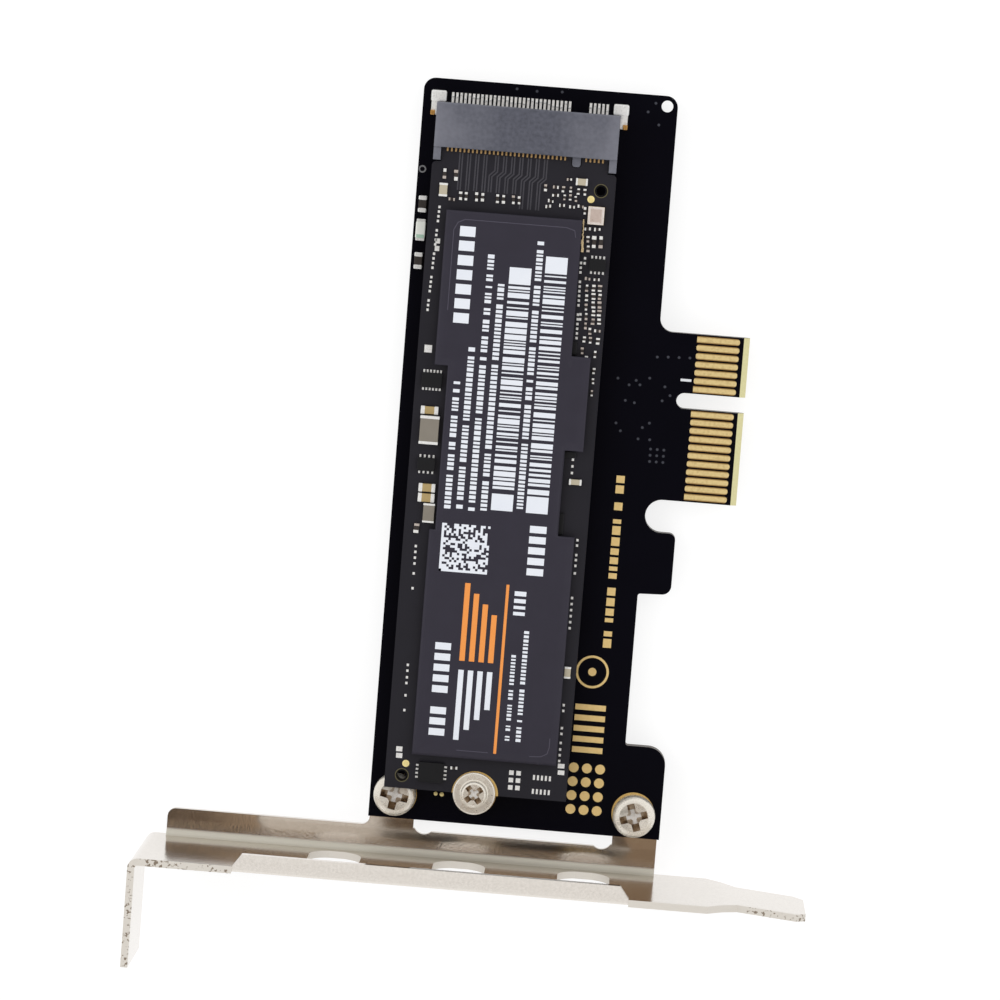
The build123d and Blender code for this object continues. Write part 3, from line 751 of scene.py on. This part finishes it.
def bars(rng, x0, x1, y0, y1):
    """Band of cross bars with a solid block at each end."""
    end = 2.0
    fields = [printed(x0, x1, y0, y0 + end), printed(x0, x1, y1 - end, y1)]
    y = y0 + end + 0.25
    while y < y1 - end - 0.8:
        bar = rng.choice((0.16, 0.16, 0.3, 0.45, 0.6))
        fields.append(printed(x0, x1, y, y + bar))
        y += bar + rng.choice((0.16, 0.16, 0.28, 0.4))
    return fields


def cells(rng, x0, y0, side, count):
    """Square of scattered cells inside a solid border on two sides."""
    step = side / count
    fields = [printed(x0, x0 + step, y0, y0 + side), printed(x0, x0 + side, y0 + side - step, y0 + side)]
    for i in range(1, count):
        for j in range(count - 1):
            if rng.random() < 0.5:
                fields.append(printed(x0 + i * step, x0 + (i + 1) * step, y0 + j * step, y0 + (j + 1) * step))
    return fields


def white_fields():
    """White print: broad dashes, fine dash lines, two bar bands, a cell square and stepped bars."""
    rng = random.Random(7)
    fields = [printed(-7.0, -5.15, 11.9 + 1.72 * i, 13.1 + 1.72 * i) for i in range(7)]
    for x, y0 in ((-6.35, 30.4), (-4.9, 26.2), (-3.45, 15.0), (-2.0, 18.4), (2.3, 13.0)):
        fields += dashes(rng, x, y0, 45.7, 0.78, 0.5, 0.17)
    fields += bars(rng, -0.75, 1.85, 16.3, 45.4)
    fields += bars(rng, 3.45, 6.05, 14.7, 45.4)
    fields += cells(rng, -6.4, 47.4, 5.8, 20)
    fields += [printed(4.1, 6.1, 46.9 + 1.28 * i, 47.75 + 1.28 * i) for i in range(5)]
    fields += [printed(-6.1, -4.2, 61.8 + 1.3 * i, 62.65 + 1.3 * i) for i in range(9) if i != 5]
    fields += [printed(-3.1 + 1.15 * i, -2.45 + 1.15 * i, 64.9, 73.4 - 1.3 * i) for i in range(4)]
    fields += dashes(rng, 2.9, 54.9, 58.2, 1.4, 0.6, 0.35)
    fields += dashes(rng, 3.1, 62.6, 73.2, 0.55, 0.34, 0.18)
    fields += dashes(rng, 4.4, 59.6, 73.2, 0.6, 0.38, 0.18)
    return fields


def orange_fields():
    """Orange print: a thin rule and stepped bars."""
    fields = [printed(1.85, 2.2, 54.2, 74.7)]
    fields += [printed(-3.1 + 1.15 * i, -2.45 + 1.15 * i, 54.4 + 1.2 * i, 63.8) for i in range(4)]
    return fields


def label_crease_highlights(bm):
    """Fine ridges where the film turns down over the ends of the packages, paler than the film as a painted
    highlight along them.
    """
    far = [(-7.75, 22.0), (-7.75, 12.4), (-7.3, 11.5), (-6.5, 11.1), (5.6, 11.1), (6.6, 11.4), (6.75, 12.2)]
    near = [(-2.6, 74.65), (1.2, 74.65)]
    corner = [(6.2, 74.7), (7.6, 74.6), (8.3, 74.2), (8.5, 73.4), (8.5, 72.3)]
    for line in (far, near, corner):
        strip(bm, [at_drive(x, y) for x, y in line], 0.1, LABEL_TOP - 0.004, LABEL_TOP + 0.008)


def label_step_shadows():
    """Black slits beside the label where its outline steps in: painted shadow, in the packages' dark resin
    finish.
    """
    shadow_slits = [
        (7.3, 7.95, 24.6, 26.2), (7.4, 8.9, 37.7, 38.5),
        (7.4, 8.05, 45.2, 47.8), (-7.95, -7.1, 27.2, 28.5),
    ]
    for x0, x1, y0, y1 in shadow_slits:
        (left, far), (right, near) = at_drive(x0, y0), at_drive(x1, y1)
        yield left, right, near, far, DRIVE_TOP, DRIVE_TOP + 0.35, 0.1


shape("label_crease_highlights", crease_highlight_film, "label_film", label_crease_highlights)
blocks("label_white_print", white_fields(), white_ink, "label_film")
blocks("label_orange_print", orange_fields(), orange_ink, "label_film")
# Painted shadow in black slits beside the label's steps
rounded_blocks("label_step_painted_shadows", package_resin, "package_resin", label_step_shadows())


# Small parts on the drive: each has its place, width, length and height

def chip_parts(name, chips, body_finish, slot):
    """Tiny chip parts: a body between two uneven solder caps, some of them dull."""
    rng = random.Random(19)
    bodies = []
    bright = []
    dull = []
    for x, y, w, l, *tall in chips:
        h = tall[0] if tall else TINY_H
        cx, cy = at_drive(x, y)
        along = l >= w
        cap = 0.31 * max(w, l)
        body_w = 0.8 * w if along else w - 2 * cap
        body_l = l - 2 * cap if along else 0.8 * l
        bodies.append((cx, cy, DRIVE_TOP + 0.49 * h, (body_w, body_l, 0.96 * h)))
        shift = (max(w, l) - cap) / 2
        for hand in (-1, 1):
            dx, dy = (0, hand * shift) if along else (hand * shift, 0)
            cap_w, cap_l = (w, cap) if along else (cap, l)
            size = (cap_w * rng.uniform(0.65, 0.95), cap_l * rng.uniform(0.75, 1.05), h)
            px = cx + dx + rng.uniform(-0.05, 0.05)
            py = cy + dy + rng.uniform(-0.05, 0.05)
            caps = bright if rng.random() < 0.65 else dull
            caps.append(pad_spot((px, py), *size, DRIVE_TOP))
    blocks(f"{name}_bodies", bodies, body_finish, slot)
    blocks(f"{name}_bright_caps", bright, tin, "solder_tin")
    blocks(f"{name}_dull_caps", dull, dull_tin, "solder_tin")


def eased_parts(name, chips, body_finish, slot, cap_share, replaces=()):
    """Larger chip parts with rounded edges: bodies and end caps that each take a share of the length."""
    def limits(x, y, w, l, low, high):
        cx, cy = at_drive(x, y)
        if l >= w:
            return cx - w / 2, cx + w / 2, cy + (low - 0.5) * l, cy + (high - 0.5) * l
        return cx + (low - 0.5) * w, cx + (high - 0.5) * w, cy - l / 2, cy + l / 2

    bodies = []
    caps = []
    for x, y, w, l, h in chips:
        inner = limits(x, y, w - 0.06, l - 0.06, cap_share - 0.05, 1.05 - cap_share)
        bodies.append((*inner, DRIVE_TOP, DRIVE_TOP + h - 0.03, 0.04))
        for low, high in ((0, cap_share), (1 - cap_share, 1)):
            caps.append((*limits(x, y, w, l, low, high), DRIVE_TOP, DRIVE_TOP + h, 0.05))
    rounded_blocks(f"{name}_bodies", body_finish, slot, bodies, replaces)
    rounded_blocks(f"{name}_caps", tin, "solder_tin", caps)


TAN_CAPACITORS = [(-9.0, 34.15, 2.1, 0.95, 0.5), (-8.6, 43.45, 2.0, 1.0, 0.5), (-8.6, 44.65, 2.0, 1.05, 0.5)]
BEIGE_CAPACITORS = [
    (-9.4, 7.8, 1.0, 1.6, 0.5), (6.95, 5.6, 1.4, 0.85, 0.5),
    (9.95, 64.3, 0.8, 1.4, 0.5), (9.04, 41.35, 1.5, 0.7, 0.5),
]
INDUCTORS = [(-8.85, 36.5, 2.3, 3.4, 1.0), (-8.15, 46.45, 1.4, 2.3, 0.8)]
TAN_CAP = 0.23
BEIGE_CAP = 0.16
INDUCTOR_CAP = 0.1
eased_parts("tan_capacitors", TAN_CAPACITORS, ceramic, "ceramic", TAN_CAP, ("drive_capacitors",))
eased_parts("beige_capacitors", BEIGE_CAPACITORS, pale_ceramic, "ceramic", BEIGE_CAP)
eased_parts("power_inductors", INDUCTORS, ferrite, "ferrite", INDUCTOR_CAP, ("drive_inductors",))

# The tiny parts give a height only where it isn't the usual one
TINY_H = 0.25
LINE_CHIPS = [(x, 8.35, 0.4, 1.05) for x in (-7.28, -6.6, -5.4, -4.7, -2.9, -2.2, -1.0, -0.3)]
CORNER_CHIPS = [(-9.4, 5.9, 0.5, 1.35, 0.28), (-8.05, 5.95, 0.5, 1.35, 0.28), (-8.3, 8.85, 0.75, 0.4)]
END_CHIPS = [(-9.5, 48.4, 0.75, 1.1, 0.4), (-2.75, 77.02, 0.85, 0.4)]
CLUSTER_CHIPS = [
    (2.7, 6.6, 0.4, 0.9), (3.9, 6.45, 0.8, 0.4), (5.45, 5.4, 0.75, 0.3), (4.8, 6.6, 0.38, 0.75),
    (5.7, 6.6, 0.38, 0.75), (6.65, 6.75, 0.38, 0.75), (7.4, 6.75, 0.38, 0.8), (3.95, 7.4, 0.75, 0.38),
    (5.05, 7.55, 0.36, 0.7), (5.7, 7.55, 0.36, 0.7), (6.4, 7.65, 0.36, 0.7), (3.4, 8.15, 0.7, 0.36),
    (3.2, 8.8, 0.7, 0.36), (4.85, 8.55, 0.7, 0.36), (6.05, 8.65, 0.7, 0.36), (7.05, 8.5, 0.7, 0.36),
]


def edge_chips():
    """Packed columns of tiny parts that lean a little down the drive's right edge."""
    chips = [
        (7.58, 9.0, 0.36, 0.95), (8.05, 11.1, 0.75, 0.36), (9.2, 11.05, 0.85, 0.4), (8.2, 12.28, 0.42, 0.8),
        (8.28, 13.4, 0.42, 0.8), (8.98, 12.6, 0.56, 1.5, 0.28), (9.78, 12.55, 0.56, 1.5, 0.28),
        (8.55, 17.0, 0.75, 0.36), (9.65, 17.0, 0.75, 0.36),
    ]
    for row in range(5):
        lean = 0.06 * row
        chips.append((8.52 + lean, 18.15 + 1.12 * row, 0.4, 0.85))
        chips.append((9.36 + lean, 18.1 + 0.98 * row, 0.52, 0.8))
        chips.append((10.1 + lean, 18.05 + 0.98 * row, 0.56, 0.8))
    chips += [
        (10.2, 23.1, 0.8, 0.36), (9.3, 23.2, 0.4, 0.8), (10.4, 24.3, 0.5, 0.85), (8.75, 24.25, 0.42, 0.8),
        (9.5, 24.3, 0.42, 0.8), (8.6, 25.6, 0.42, 0.8), (10.15, 25.9, 0.4, 0.8), (9.15, 26.6, 0.42, 0.8),
    ]
    return chips + [(10.15, y, 0.36, 0.75) for y in (27.9, 29.1, 30.6)]


tiny_chips = LINE_CHIPS + CORNER_CHIPS + CLUSTER_CHIPS + edge_chips() + END_CHIPS
chip_parts("tiny_chips", tiny_chips, dark_ceramic, "ceramic")


def small_pads():
    """Places of the bare tinned pads along the drive's edges and end."""
    places = [(-9.7 - 0.022 * i, 9.9 + 0.56 * i) for i in range(23) if i % 5 != 4]
    places += [(7.62 + 0.012 * i, 15.2 + 0.56 * i) for i in range(18) if i % 7 != 3]
    places += [(8.05, y) for y in (14.6, 15.2, 21.3, 21.9)]
    places += [(8.55, 37.9 + 0.8 * i) for i in range(4)]
    places += [(9.86, y) for y in (48.3, 48.95, 50.1, 50.7, 51.4, 52.3)]
    places += [(-9.4, y) for y in (50.6, 51.3, 52.0, 52.7, 53.9, 55.7)]
    places += [(-9.25, y) for y in (65.0, 65.7, 66.5, 67.2, 68.7, 70.5)]
    places += [(9.78, 55.3 + 0.73 * i) for i in range(6)]
    places += [(9.82, y) for y in (68.3, 69.0, 71.1, 71.8, 72.9, 73.7, 74.4, 75.1)]
    return [(x, y, 0.27, 0.3) for x, y in places]


def large_pads():
    """Places and sizes of the larger tinned lands."""
    pads = [(-9.75, 26.85, 0.9, 0.9), (-9.6, 13.95, 0.55, 0.6), (-9.62, 14.85, 0.55, 0.6)]
    pads += [(-9.5, 75.25, 0.75, 0.6), (-9.45, 76.05, 0.75, 0.6)]
    pads += [(10.1, 75.7, 0.8, 0.55), (10.15, 76.5, 0.8, 0.55)]
    pads += [(4.2 + 0.86 * i, 77.0 + 0.9 * j, 0.55, 0.55) for i in range(2) for j in range(3)]
    pads += [(6.95 + 0.48 * i, y, 0.24, 0.6) for i in range(5) for y in (77.35, 79.05)]
    return pads


for name, pads in (("drive_small_pads", small_pads()), ("drive_large_pads", large_pads())):
    spots = [pad_spot(at_drive(x, y), w, l, PLATE, DRIVE_TOP) for x, y, w, l in pads]
    blocks(name, spots, tin, "solder_tin")

# Small packages with their rows of leads: centre, body size, leads per row and the rows' direction
PACKAGES = [
    (-9.0, 30.55, 2.4, 1.8, 6, "y"),
    (-8.9, 40.65, 2.1, 1.6, 4, "y"),
    (-5.46, 77.72, 3.08, 2.4, 4, "x"),
    (9.6, 15.3, 1.9, 1.5, 4, "y"),
]


def package_bodies():
    """Moulded bodies of the small packages."""
    for x, y, w, l, _, _ in PACKAGES:
        cx, cy = at_drive(x, y)
        yield cx - w / 2, cx + w / 2, cy - l / 2, cy + l / 2, DRIVE_TOP + 0.05, DRIVE_TOP + 0.6, 0.06


def package_leads():
    """Solder leads on two sides of each small package."""
    spots = []
    for x, y, w, l, count, way in PACKAGES:
        cx, cy = at_drive(x, y)
        for hand in (-1, 1):
            for i in range(count):
                share = (i + 0.5) / count - 0.5
                if way == "y":
                    px, py, size = cx + share * w, cy + hand * (l / 2 + 0.12), (0.22, 0.42, 0.12)
                else:
                    px, py, size = cx + hand * (w / 2 + 0.12), cy + share * l * 0.8, (0.42, 0.22, 0.12)
                spots.append(pad_spot((px, py), *size, DRIVE_TOP))
    return spots


rounded_blocks("small_packages", package_resin, "package_resin", package_bodies(), ("drive_small_ics",))
blocks("small_package_leads", package_leads(), tin, "solder_tin")

# Oscillator: ceramic base, welded rim and raised lid, each with its inset, levels and rounding
can_low, can_high = box_mm("drive_crystal")
RESONATOR = [
    ("resonator_base", ceramic, "ceramic", ("drive_crystal",), 0.0, can_low.z, can_high.z - 0.18, 0.05),
    ("resonator_rim", can_rim, "crystal_can", (), 0.02, can_high.z - 0.2, can_high.z - 0.06, 0.06),
    ("resonator_lid", can_lid, "crystal_can", (), 0.3, can_high.z - 0.08, can_high.z, 0.04),
]
for name, finish, slot, stands_for, inset, z0, z1, ease in RESONATOR:
    sides = (can_low.x + inset, can_high.x - inset, can_low.y + inset, can_high.y - inset)
    rounded_blocks(name, finish, slot, [(*sides, z0, z1, ease)], stands_for)

TOOLING_HOLES = [(9.3, 6.5), (-8.95, 78.4)]


def hole_rings(outer, inner):
    """Filler of thin rings round the tooling holes."""
    def fill(bm):
        for x, y in TOOLING_HOLES:
            ring(bm, *at_drive(x, y), DRIVE_TOP, DRIVE_TOP + PLATE, outer, inner)
    return fill


def drive_dots(bm):
    """Domed sighting dots on the drive, and two small lands on the card beside its end."""
    for x, y, r, base in (
        (8.19, 7.58, 0.43, DRIVE_TOP),
        (-8.58, 76.95, 0.43, DRIVE_TOP),
        (-4.83, 80.86, 0.24, CARD_TOP),
        (-4.08, 80.89, 0.26, CARD_TOP),
    ):
        dome = [(0, base), (r, base), (r, base + 0.02), (0.7 * r, base + 0.07), (0, base + 0.1)]
        lathe(bm, dome, *at_drive(x, y), 24)


def controller_bead():
    """Lumpy line of pale gold along the controller's edge, thicker at its near end."""
    rng = random.Random(11)
    for lump in range(16):
        y = 10.15 + 0.24 * lump
        half = rng.uniform(0.05, 0.09) if lump < 10 else rng.uniform(0.12, 0.2)
        x, cy = at_drive(7.52 + 0.03 * (y - 10) + rng.uniform(-0.04, 0.04), y)
        yield x - half, x + half, cy - 0.15, cy + 0.15, DRIVE_TOP, DRIVE_TOP + 0.25, 0.04


def drive_traces(bm):
    """Paired tracks that rise under the mask beside the socket; the right ones jog sideways."""
    for pair in range(11):
        jog = 0.62 if pair > 3 else 0
        for line in (0, 0.32):
            x = -7.35 + 0.97 * pair + line - (0 if jog else 0.4)
            knee = 4.8 + 0.07 * pair + 0.4 * line
            points = [(x, 3.3), (x - jog, 7.7 if x < 0.4 else 9.4)]
            if jog:
                points[1:1] = [(x, knee), (x - jog, knee + jog)]
            strip(bm, [at_drive(*point) for point in points], 0.17, DRIVE_TOP, DRIVE_TOP + TRACE)


shape("tooling_hole_rims", rim_gold, "gold_plate", hole_rings(outer=0.84, inner=0.73))
# Black rings inside the rims: painted shadow that makes the holes look wider and darker
shape("tooling_hole_painted_shadows", hole_shadow_black, "drive_mask", hole_rings(outer=0.73, inner=0.57))
shape("drive_gold_dots", dot_gold_highlight, "gold_plate", drive_dots)
rounded_blocks("controller_edge_bead", pale_gold, "gold_plate", controller_bead())
shape("drive_tracks", trace_mask, "drive_mask", drive_traces)


# Plug fingers, socket solder and the card's own small parts

FINGER_GROUPS = ([i + 1.5 for i in range(7)], [-(i + 1.5) for i in range(11)])


def finger_outline(y, x0, x1, r0):
    """Corners of one finger: round at the plug edge, and eased by r0 at the board's side."""
    points = []
    half = FINGER_W / 2
    turns = ((x0, 1, r0, 90), (x0, -1, r0, 180), (x1, -1, FINGER_R, 270), (x1, 1, FINGER_R, 0))
    for x, hand, r, turn in turns:
        inward = 1 if x == x0 else -1
        for step in range(5 if r else 1):
            a = math.radians(turn + 22.5 * step)
            points.append((x + inward * r + r * math.cos(a), y + hand * (half - r) + r * math.sin(a)))
    return points


def plug_fingers(node):
    """Filler of plated fingers; the outer ones of each group are square at the board's side."""
    low, high = box_mm(node)

    def fill(bm):
        for group in FINGER_GROUPS:
            for y in group:
                points = finger_outline(y, low.x, high.x, 0 if y in (group[0], group[-1]) else 0.32)
                rows = [[bm.verts.new((px, py, z)) for px, py in points] for z in (low.z, high.z)]
                bm.faces.new(rows[0])
                bm.faces.new(rows[1])
                skin(bm, *rows)
    return fill


for side in ("front", "back"):
    node = f"edge_fingers_{side}"
    shape(f"plug_fingers_{side}", plug_gold, "gold_plate", plug_fingers(node), (node,))

contacts_low, contacts_high = box_mm("m2_upper_contacts")
TAIL_XS = [contacts_low.x + 0.1 + 0.5 * i for i in range(38) if i not in (29, 30, 31, 32)]


def tail_solder(bm):
    """Uneven solder beads on the socket's tails."""
    rng = random.Random(3)
    for x in TAIL_XS:
        r = rng.uniform(0.12, 0.18)
        y = contacts_high.y - rng.uniform(0.15, 0.75)
        base = CARD_TOP + 0.1
        bead = [(0, base), (r, base), (0.85 * r, base + 0.14), (0.45 * r, base + 0.24), (0, base + 0.27)]
        lathe(bm, bead, x, y, 10)


tail_lands = [pad_spot((x, contacts_high.y - 0.75), 0.3, 1.5, 0.12, CARD_TOP) for x in TAIL_XS]
blocks("tail_lands", tail_lands, tin, "solder_tin")
shape("tail_solder", tin, "solder_tin", tail_solder)

lugs_low, lugs_high = box_mm("m2_hold_downs")


def at_both_lugs(past, reach, *others):
    """Boxes at the socket's two lugs, that stand out past them and reach inwards."""
    left = (lugs_low.x - past, lugs_low.x + reach)
    right = (lugs_high.x - reach, lugs_high.x + past)
    return [(*ends, *others) for ends in (left, right)]


# Solder heaped over the rear of the lugs, and their bare ends below it
heaps = at_both_lugs(0.1, 1.75, lugs_high.y - 1.25, lugs_high.y + 0.1, CARD_TOP, CARD_TOP + 0.5, 0.2)
tips = at_both_lugs(0.05, 0.5, lugs_low.y - 0.05, lugs_low.y + 0.55, CARD_TOP, lugs_low.z + 0.55, 0.1)
rounded_blocks("lug_solder", tin, "solder_tin", heaps)
rounded_blocks("lug_tips", spring_gold, "contact_metal", tips)

# Lamp with a green mark at its lower end, and the two chip parts beside it on the card's left strip
lamp_low, lamp_high = box_mm("status_led")
part_low, part_high = box_mm("adapter_passives")
PART_L = 2.0
PART_SHIFTS = (0, part_high.y - part_low.y - PART_L)


def box_across(low, high, inset, *others):
    """Box across a part, drawn in from its two sides by an inset."""
    return (low.x + inset, high.x - inset, *others)


def strip_ends():
    """Soldered ends of the lamp and of the two chip parts."""
    for y0, y1 in ((lamp_low.y, lamp_low.y + 0.34), (lamp_high.y - 0.34, lamp_high.y)):
        yield box_across(lamp_low, lamp_high, 0.04, y0, y1, lamp_low.z, lamp_low.z + 0.32, 0.06)
    for y0, y1 in ((part_low.y, part_low.y + 0.55), (part_low.y + 1.45, part_low.y + PART_L)):
        for shift in PART_SHIFTS:
            yield box_across(part_low, part_high, 0, y0 + shift, y1 + shift, part_low.z, part_high.z, 0.12)


def strip_bodies():
    """Bodies of the two chip parts."""
    for shift in PART_SHIFTS:
        y = part_low.y + shift
        yield box_across(part_low, part_high, 0.03, y + 0.3, y + 1.7, part_low.z, part_high.z - 0.03, 0.05)


lamp = box_across(lamp_low, lamp_high, 0, lamp_low.y + 0.3, lamp_high.y - 0.3, lamp_low.z, lamp_high.z, 0.1)
mark_ends = (lamp_low.y + 0.34, lamp_low.y + 0.75)
mark = box_across(lamp_low, lamp_high, 0.12, *mark_ends, lamp_high.z - 0.02, lamp_high.z + 0.02, 0.015)
rounded_blocks("lamp_block", lamp_resin, "lamp_resin", [lamp], ("status_led",))
rounded_blocks("lamp_mark", lamp_green, "lamp_resin", [mark])
rounded_blocks("strip_part_ends", tin, "solder_tin", strip_ends())
rounded_blocks("strip_part_bodies", dark_ceramic, "ceramic", strip_bodies(), ("adapter_passives",))


def card_gold(bm):
    """Bare plated print on the card's right strip: dashes, a ring, bars and round test lands."""
    rng = random.Random(5)
    layer = (CARD_TOP, CARD_TOP + PLATE)
    y = -9.6
    while y > -30.0:
        length = rng.uniform(0.5, 1.1)
        block(bm, -14.6, -13.6, y - length, y, *layer)
        y -= length + (0.3 if rng.random() < 0.8 else 1.1)
    ring(bm, -15.6, -33.6, *layer, 2.0, 1.72)
    dot(bm, -15.6, -33.6, *layer, 0.5)
    for i in range(5):
        y = -37.6 - 1.3 * i
        block(bm, -17.3, -13.6, y - 0.7, y, *layer)
    for i in range(3):
        for j in range(4):
            dot(bm, -16.9 + 1.6 * i, -45.4 - 1.7 * j, *layer, 0.6)


def card_test_ring(bm):
    """Ring land near the card's far left corner."""
    ring(bm, -40.75, 25.2, CARD_TOP, CARD_TOP + PLATE, 0.45, 0.28)


VIAS = [
    (-15.4, 2.1), (-11.6, 2.4), (-11.0, -5.0), (-14.3, -0.5), (-13.2, 2.0), (-14.0, 1.4), (-12.7, 1.5),
    (-13.2, -0.7), (-15.2, -3.3), (-14.6, -4.2), (-12.0, -3.6), (-11.2, -3.0), (-12.4, -5.0), (-9.7, 1.5),
    (-9.0, 0.5), (-9.9, -0.2), (-10.9, 5.0), (-9.6, 5.1), (-8.3, 5.15), (-7.0, 5.2),
    (-13.55, 35.2), (-13.0, 32.65), (-14.4, 34.1), (-30.2, 35.6), (-27.8, 35.5), (-24.8, 35.65),
]
VIAS += [(-10.8 + 0.8 * i, -6.1 - 0.75 * j) for i in range(3) for j in range(3)]
FIRST_FINGER_TICK = (-7.9, -6.6, 2.35, 2.65, CARD_TOP, CARD_TOP + SILK)

shape("card_gold_print", copper_gold, "gold_plate", card_gold)
shape("card_test_ring", dull_solder, "solder_tin", card_test_ring)
via_spots = [(x, y, CARD_TOP + SILK / 2) for x, y in VIAS]
discs("card_vias", via_spots, via_mask, "card_mask", radius=0.17, height=SILK)
rounded_blocks("pin_tick", silk_ink, "card_mask", [FIRST_FINGER_TICK])


# Camera, floor and light

CAMERA_AT = (-13.51, 37.87, 528.35)
CAMERA_TURN = {"Y": -2.0573, "X": 5.4350, "Z": -4.7085}
FOCAL = 158.49
FLOOR_REACH = 2.0
FLOOR_GAP = 0.00002
OPENING_AXIS = (-0.02, 0.06, 0.998)
OPENING_INNER = math.radians(17)
OPENING_OUTER = math.radians(25)
OPENING_LEFT = -0.13
OPENING_RIGHT = 0.05
OPENING_TONES = {
    0.0: "#160603",
    0.27: "#260e07",
    0.3: "#cfb697",
    0.37: "#f0d8be",
    0.46: "#c0a88e",
    0.6: "#9f8870",
    1.0: "#7d6a57",
}
PLAIN_LEVEL = 0.8
WHITE = (1, 1, 1, 1)
PAPER = (0.8, 0.8, 0.8, 1)
SHADED_PAPER = (0.3, 0.3, 0.3, 1)
PAPER_GLOW = 0.78
SOFT_BOX_SIDE = 0.4


def camera():
    """Camera at the photograph's place, almost straight above the card."""
    data = bpy.data.cameras.new("camera")
    data.sensor_width = 36.0
    data.lens = FOCAL
    data.clip_start = 0.01
    view = bpy.data.objects.new("camera", data)
    turn = Matrix.Identity(3)
    for axis, angle in CAMERA_TURN.items():
        turn = turn @ Matrix.Rotation(math.radians(angle), 3, axis)
    view.matrix_world = Matrix.Translation(Vector(CAMERA_AT) * MM) @ turn.transposed().to_4x4()
    scene.collection.objects.link(view)
    scene.camera = view


def seen_directly(tree):
    """Factor that is 1 for camera, glossy and transmission rays."""
    path = add(tree, "ShaderNodeLightPath").node.outputs
    rays = [path[f"Is {kind} Ray"] for kind in ("Camera", "Glossy", "Transmission")]
    both = add(tree, MATH, [rays[0], rays[1]], operation="MAXIMUM")
    return add(tree, MATH, [both, rays[2]], operation="MAXIMUM")


def floor():
    """White floor that keeps a faint shadow."""
    mesh = bpy.data.meshes.new("floor")
    z = cad_box[0].z - FLOOR_GAP
    corners = [(a * FLOOR_REACH, b * FLOOR_REACH, z) for a, b in ((-1, -1), (1, -1), (1, 1), (-1, 1))]
    mesh.from_pydata(corners, [], [(0, 1, 2, 3)])
    plane = bpy.data.objects.new("floor", mesh)
    scene.collection.objects.link(plane)
    material = bpy.data.materials.new("white_paper")
    material.use_nodes = True
    tree = material.node_tree
    tree.nodes.clear()
    plain = add(tree, "ShaderNodeBsdfDiffuse", {"Color": PAPER})
    shade = add(tree, "ShaderNodeBsdfDiffuse", {"Color": SHADED_PAPER})
    glow = add(tree, "ShaderNodeEmission", {"Color": WHITE, "Strength": PAPER_GLOW})
    paper = add(tree, "ShaderNodeAddShader", [shade, glow])
    mixed = add(tree, "ShaderNodeMixShader", [seen_directly(tree), plain, paper])
    add(tree, "ShaderNodeOutputMaterial", {"Surface": mixed})
    mesh.materials.append(material)


def world():
    """White light tent: plain to the camera, and in reflections dark and warm where it opens for the lens."""
    room = bpy.data.worlds.new("light_tent")
    scene.world = room
    room.use_nodes = True
    tree = room.node_tree
    tree.nodes.clear()
    way = add(tree, "ShaderNodeTexCoord", output="Generated")
    glossy = add(tree, "ShaderNodeLightPath", output="Is Glossy Ray")
    aim = add(tree, "ShaderNodeVectorMath", [way, OPENING_AXIS], "Value", operation="DOT_PRODUCT")
    round_hole = add(tree, RANGE, [aim, math.cos(OPENING_OUTER), math.cos(OPENING_INNER)])
    opening = add(tree, MATH, [round_hole, glossy], operation="MULTIPLY")
    sideways = add(tree, SPLIT, [way], "X")
    share = add(tree, RANGE, [sideways, OPENING_LEFT, OPENING_RIGHT])
    warm = add(tree, "ShaderNodeValToRGB", [share])
    stops = warm.node.color_ramp.elements
    stops[0].color = linear(OPENING_TONES[0.0])
    stops[1].color = linear(OPENING_TONES[1.0])
    for place, colour in OPENING_TONES.items():
        if 0 < place < 1:
            stops.new(place).color = linear(colour)
    tent = add(tree, MIX, {0: opening, MIX_A: WHITE, MIX_B: warm}, **COLOURS)
    seen = add(tree, "ShaderNodeBackground", {"Color": tent, "Strength": 1.0})
    plain = add(tree, "ShaderNodeBackground", {"Color": WHITE, "Strength": PLAIN_LEVEL})
    mixed = add(tree, "ShaderNodeMixShader", [seen_directly(tree), plain, seen])
    add(tree, "ShaderNodeOutputWorld", {"Surface": mixed})


def soft_box(name, at, power):
    """Square soft box that faces the card, and stands behind the tent's cloth in reflections."""
    data = bpy.data.lights.new(name, "AREA")
    data.size = SOFT_BOX_SIDE
    data.energy = power
    light = bpy.data.objects.new(name, data)
    light.visible_glossy = False
    target = (cad_box[0] + cad_box[1]) / 2
    light.location = Vector(at)
    light.rotation_euler = (target - light.location).to_track_quat("-Z", "Y").to_euler()
    scene.collection.objects.link(light)


camera()
floor()
world()
soft_box("left_box", (-0.5, 0.15, 0.45), power=0.7)
soft_box("right_box", (0.45, 0.25, 0.5), power=0.5)
soft_box("near_box", (0.05, -0.5, 0.5), power=0.4)
scene.view_settings.view_transform = "Standard"
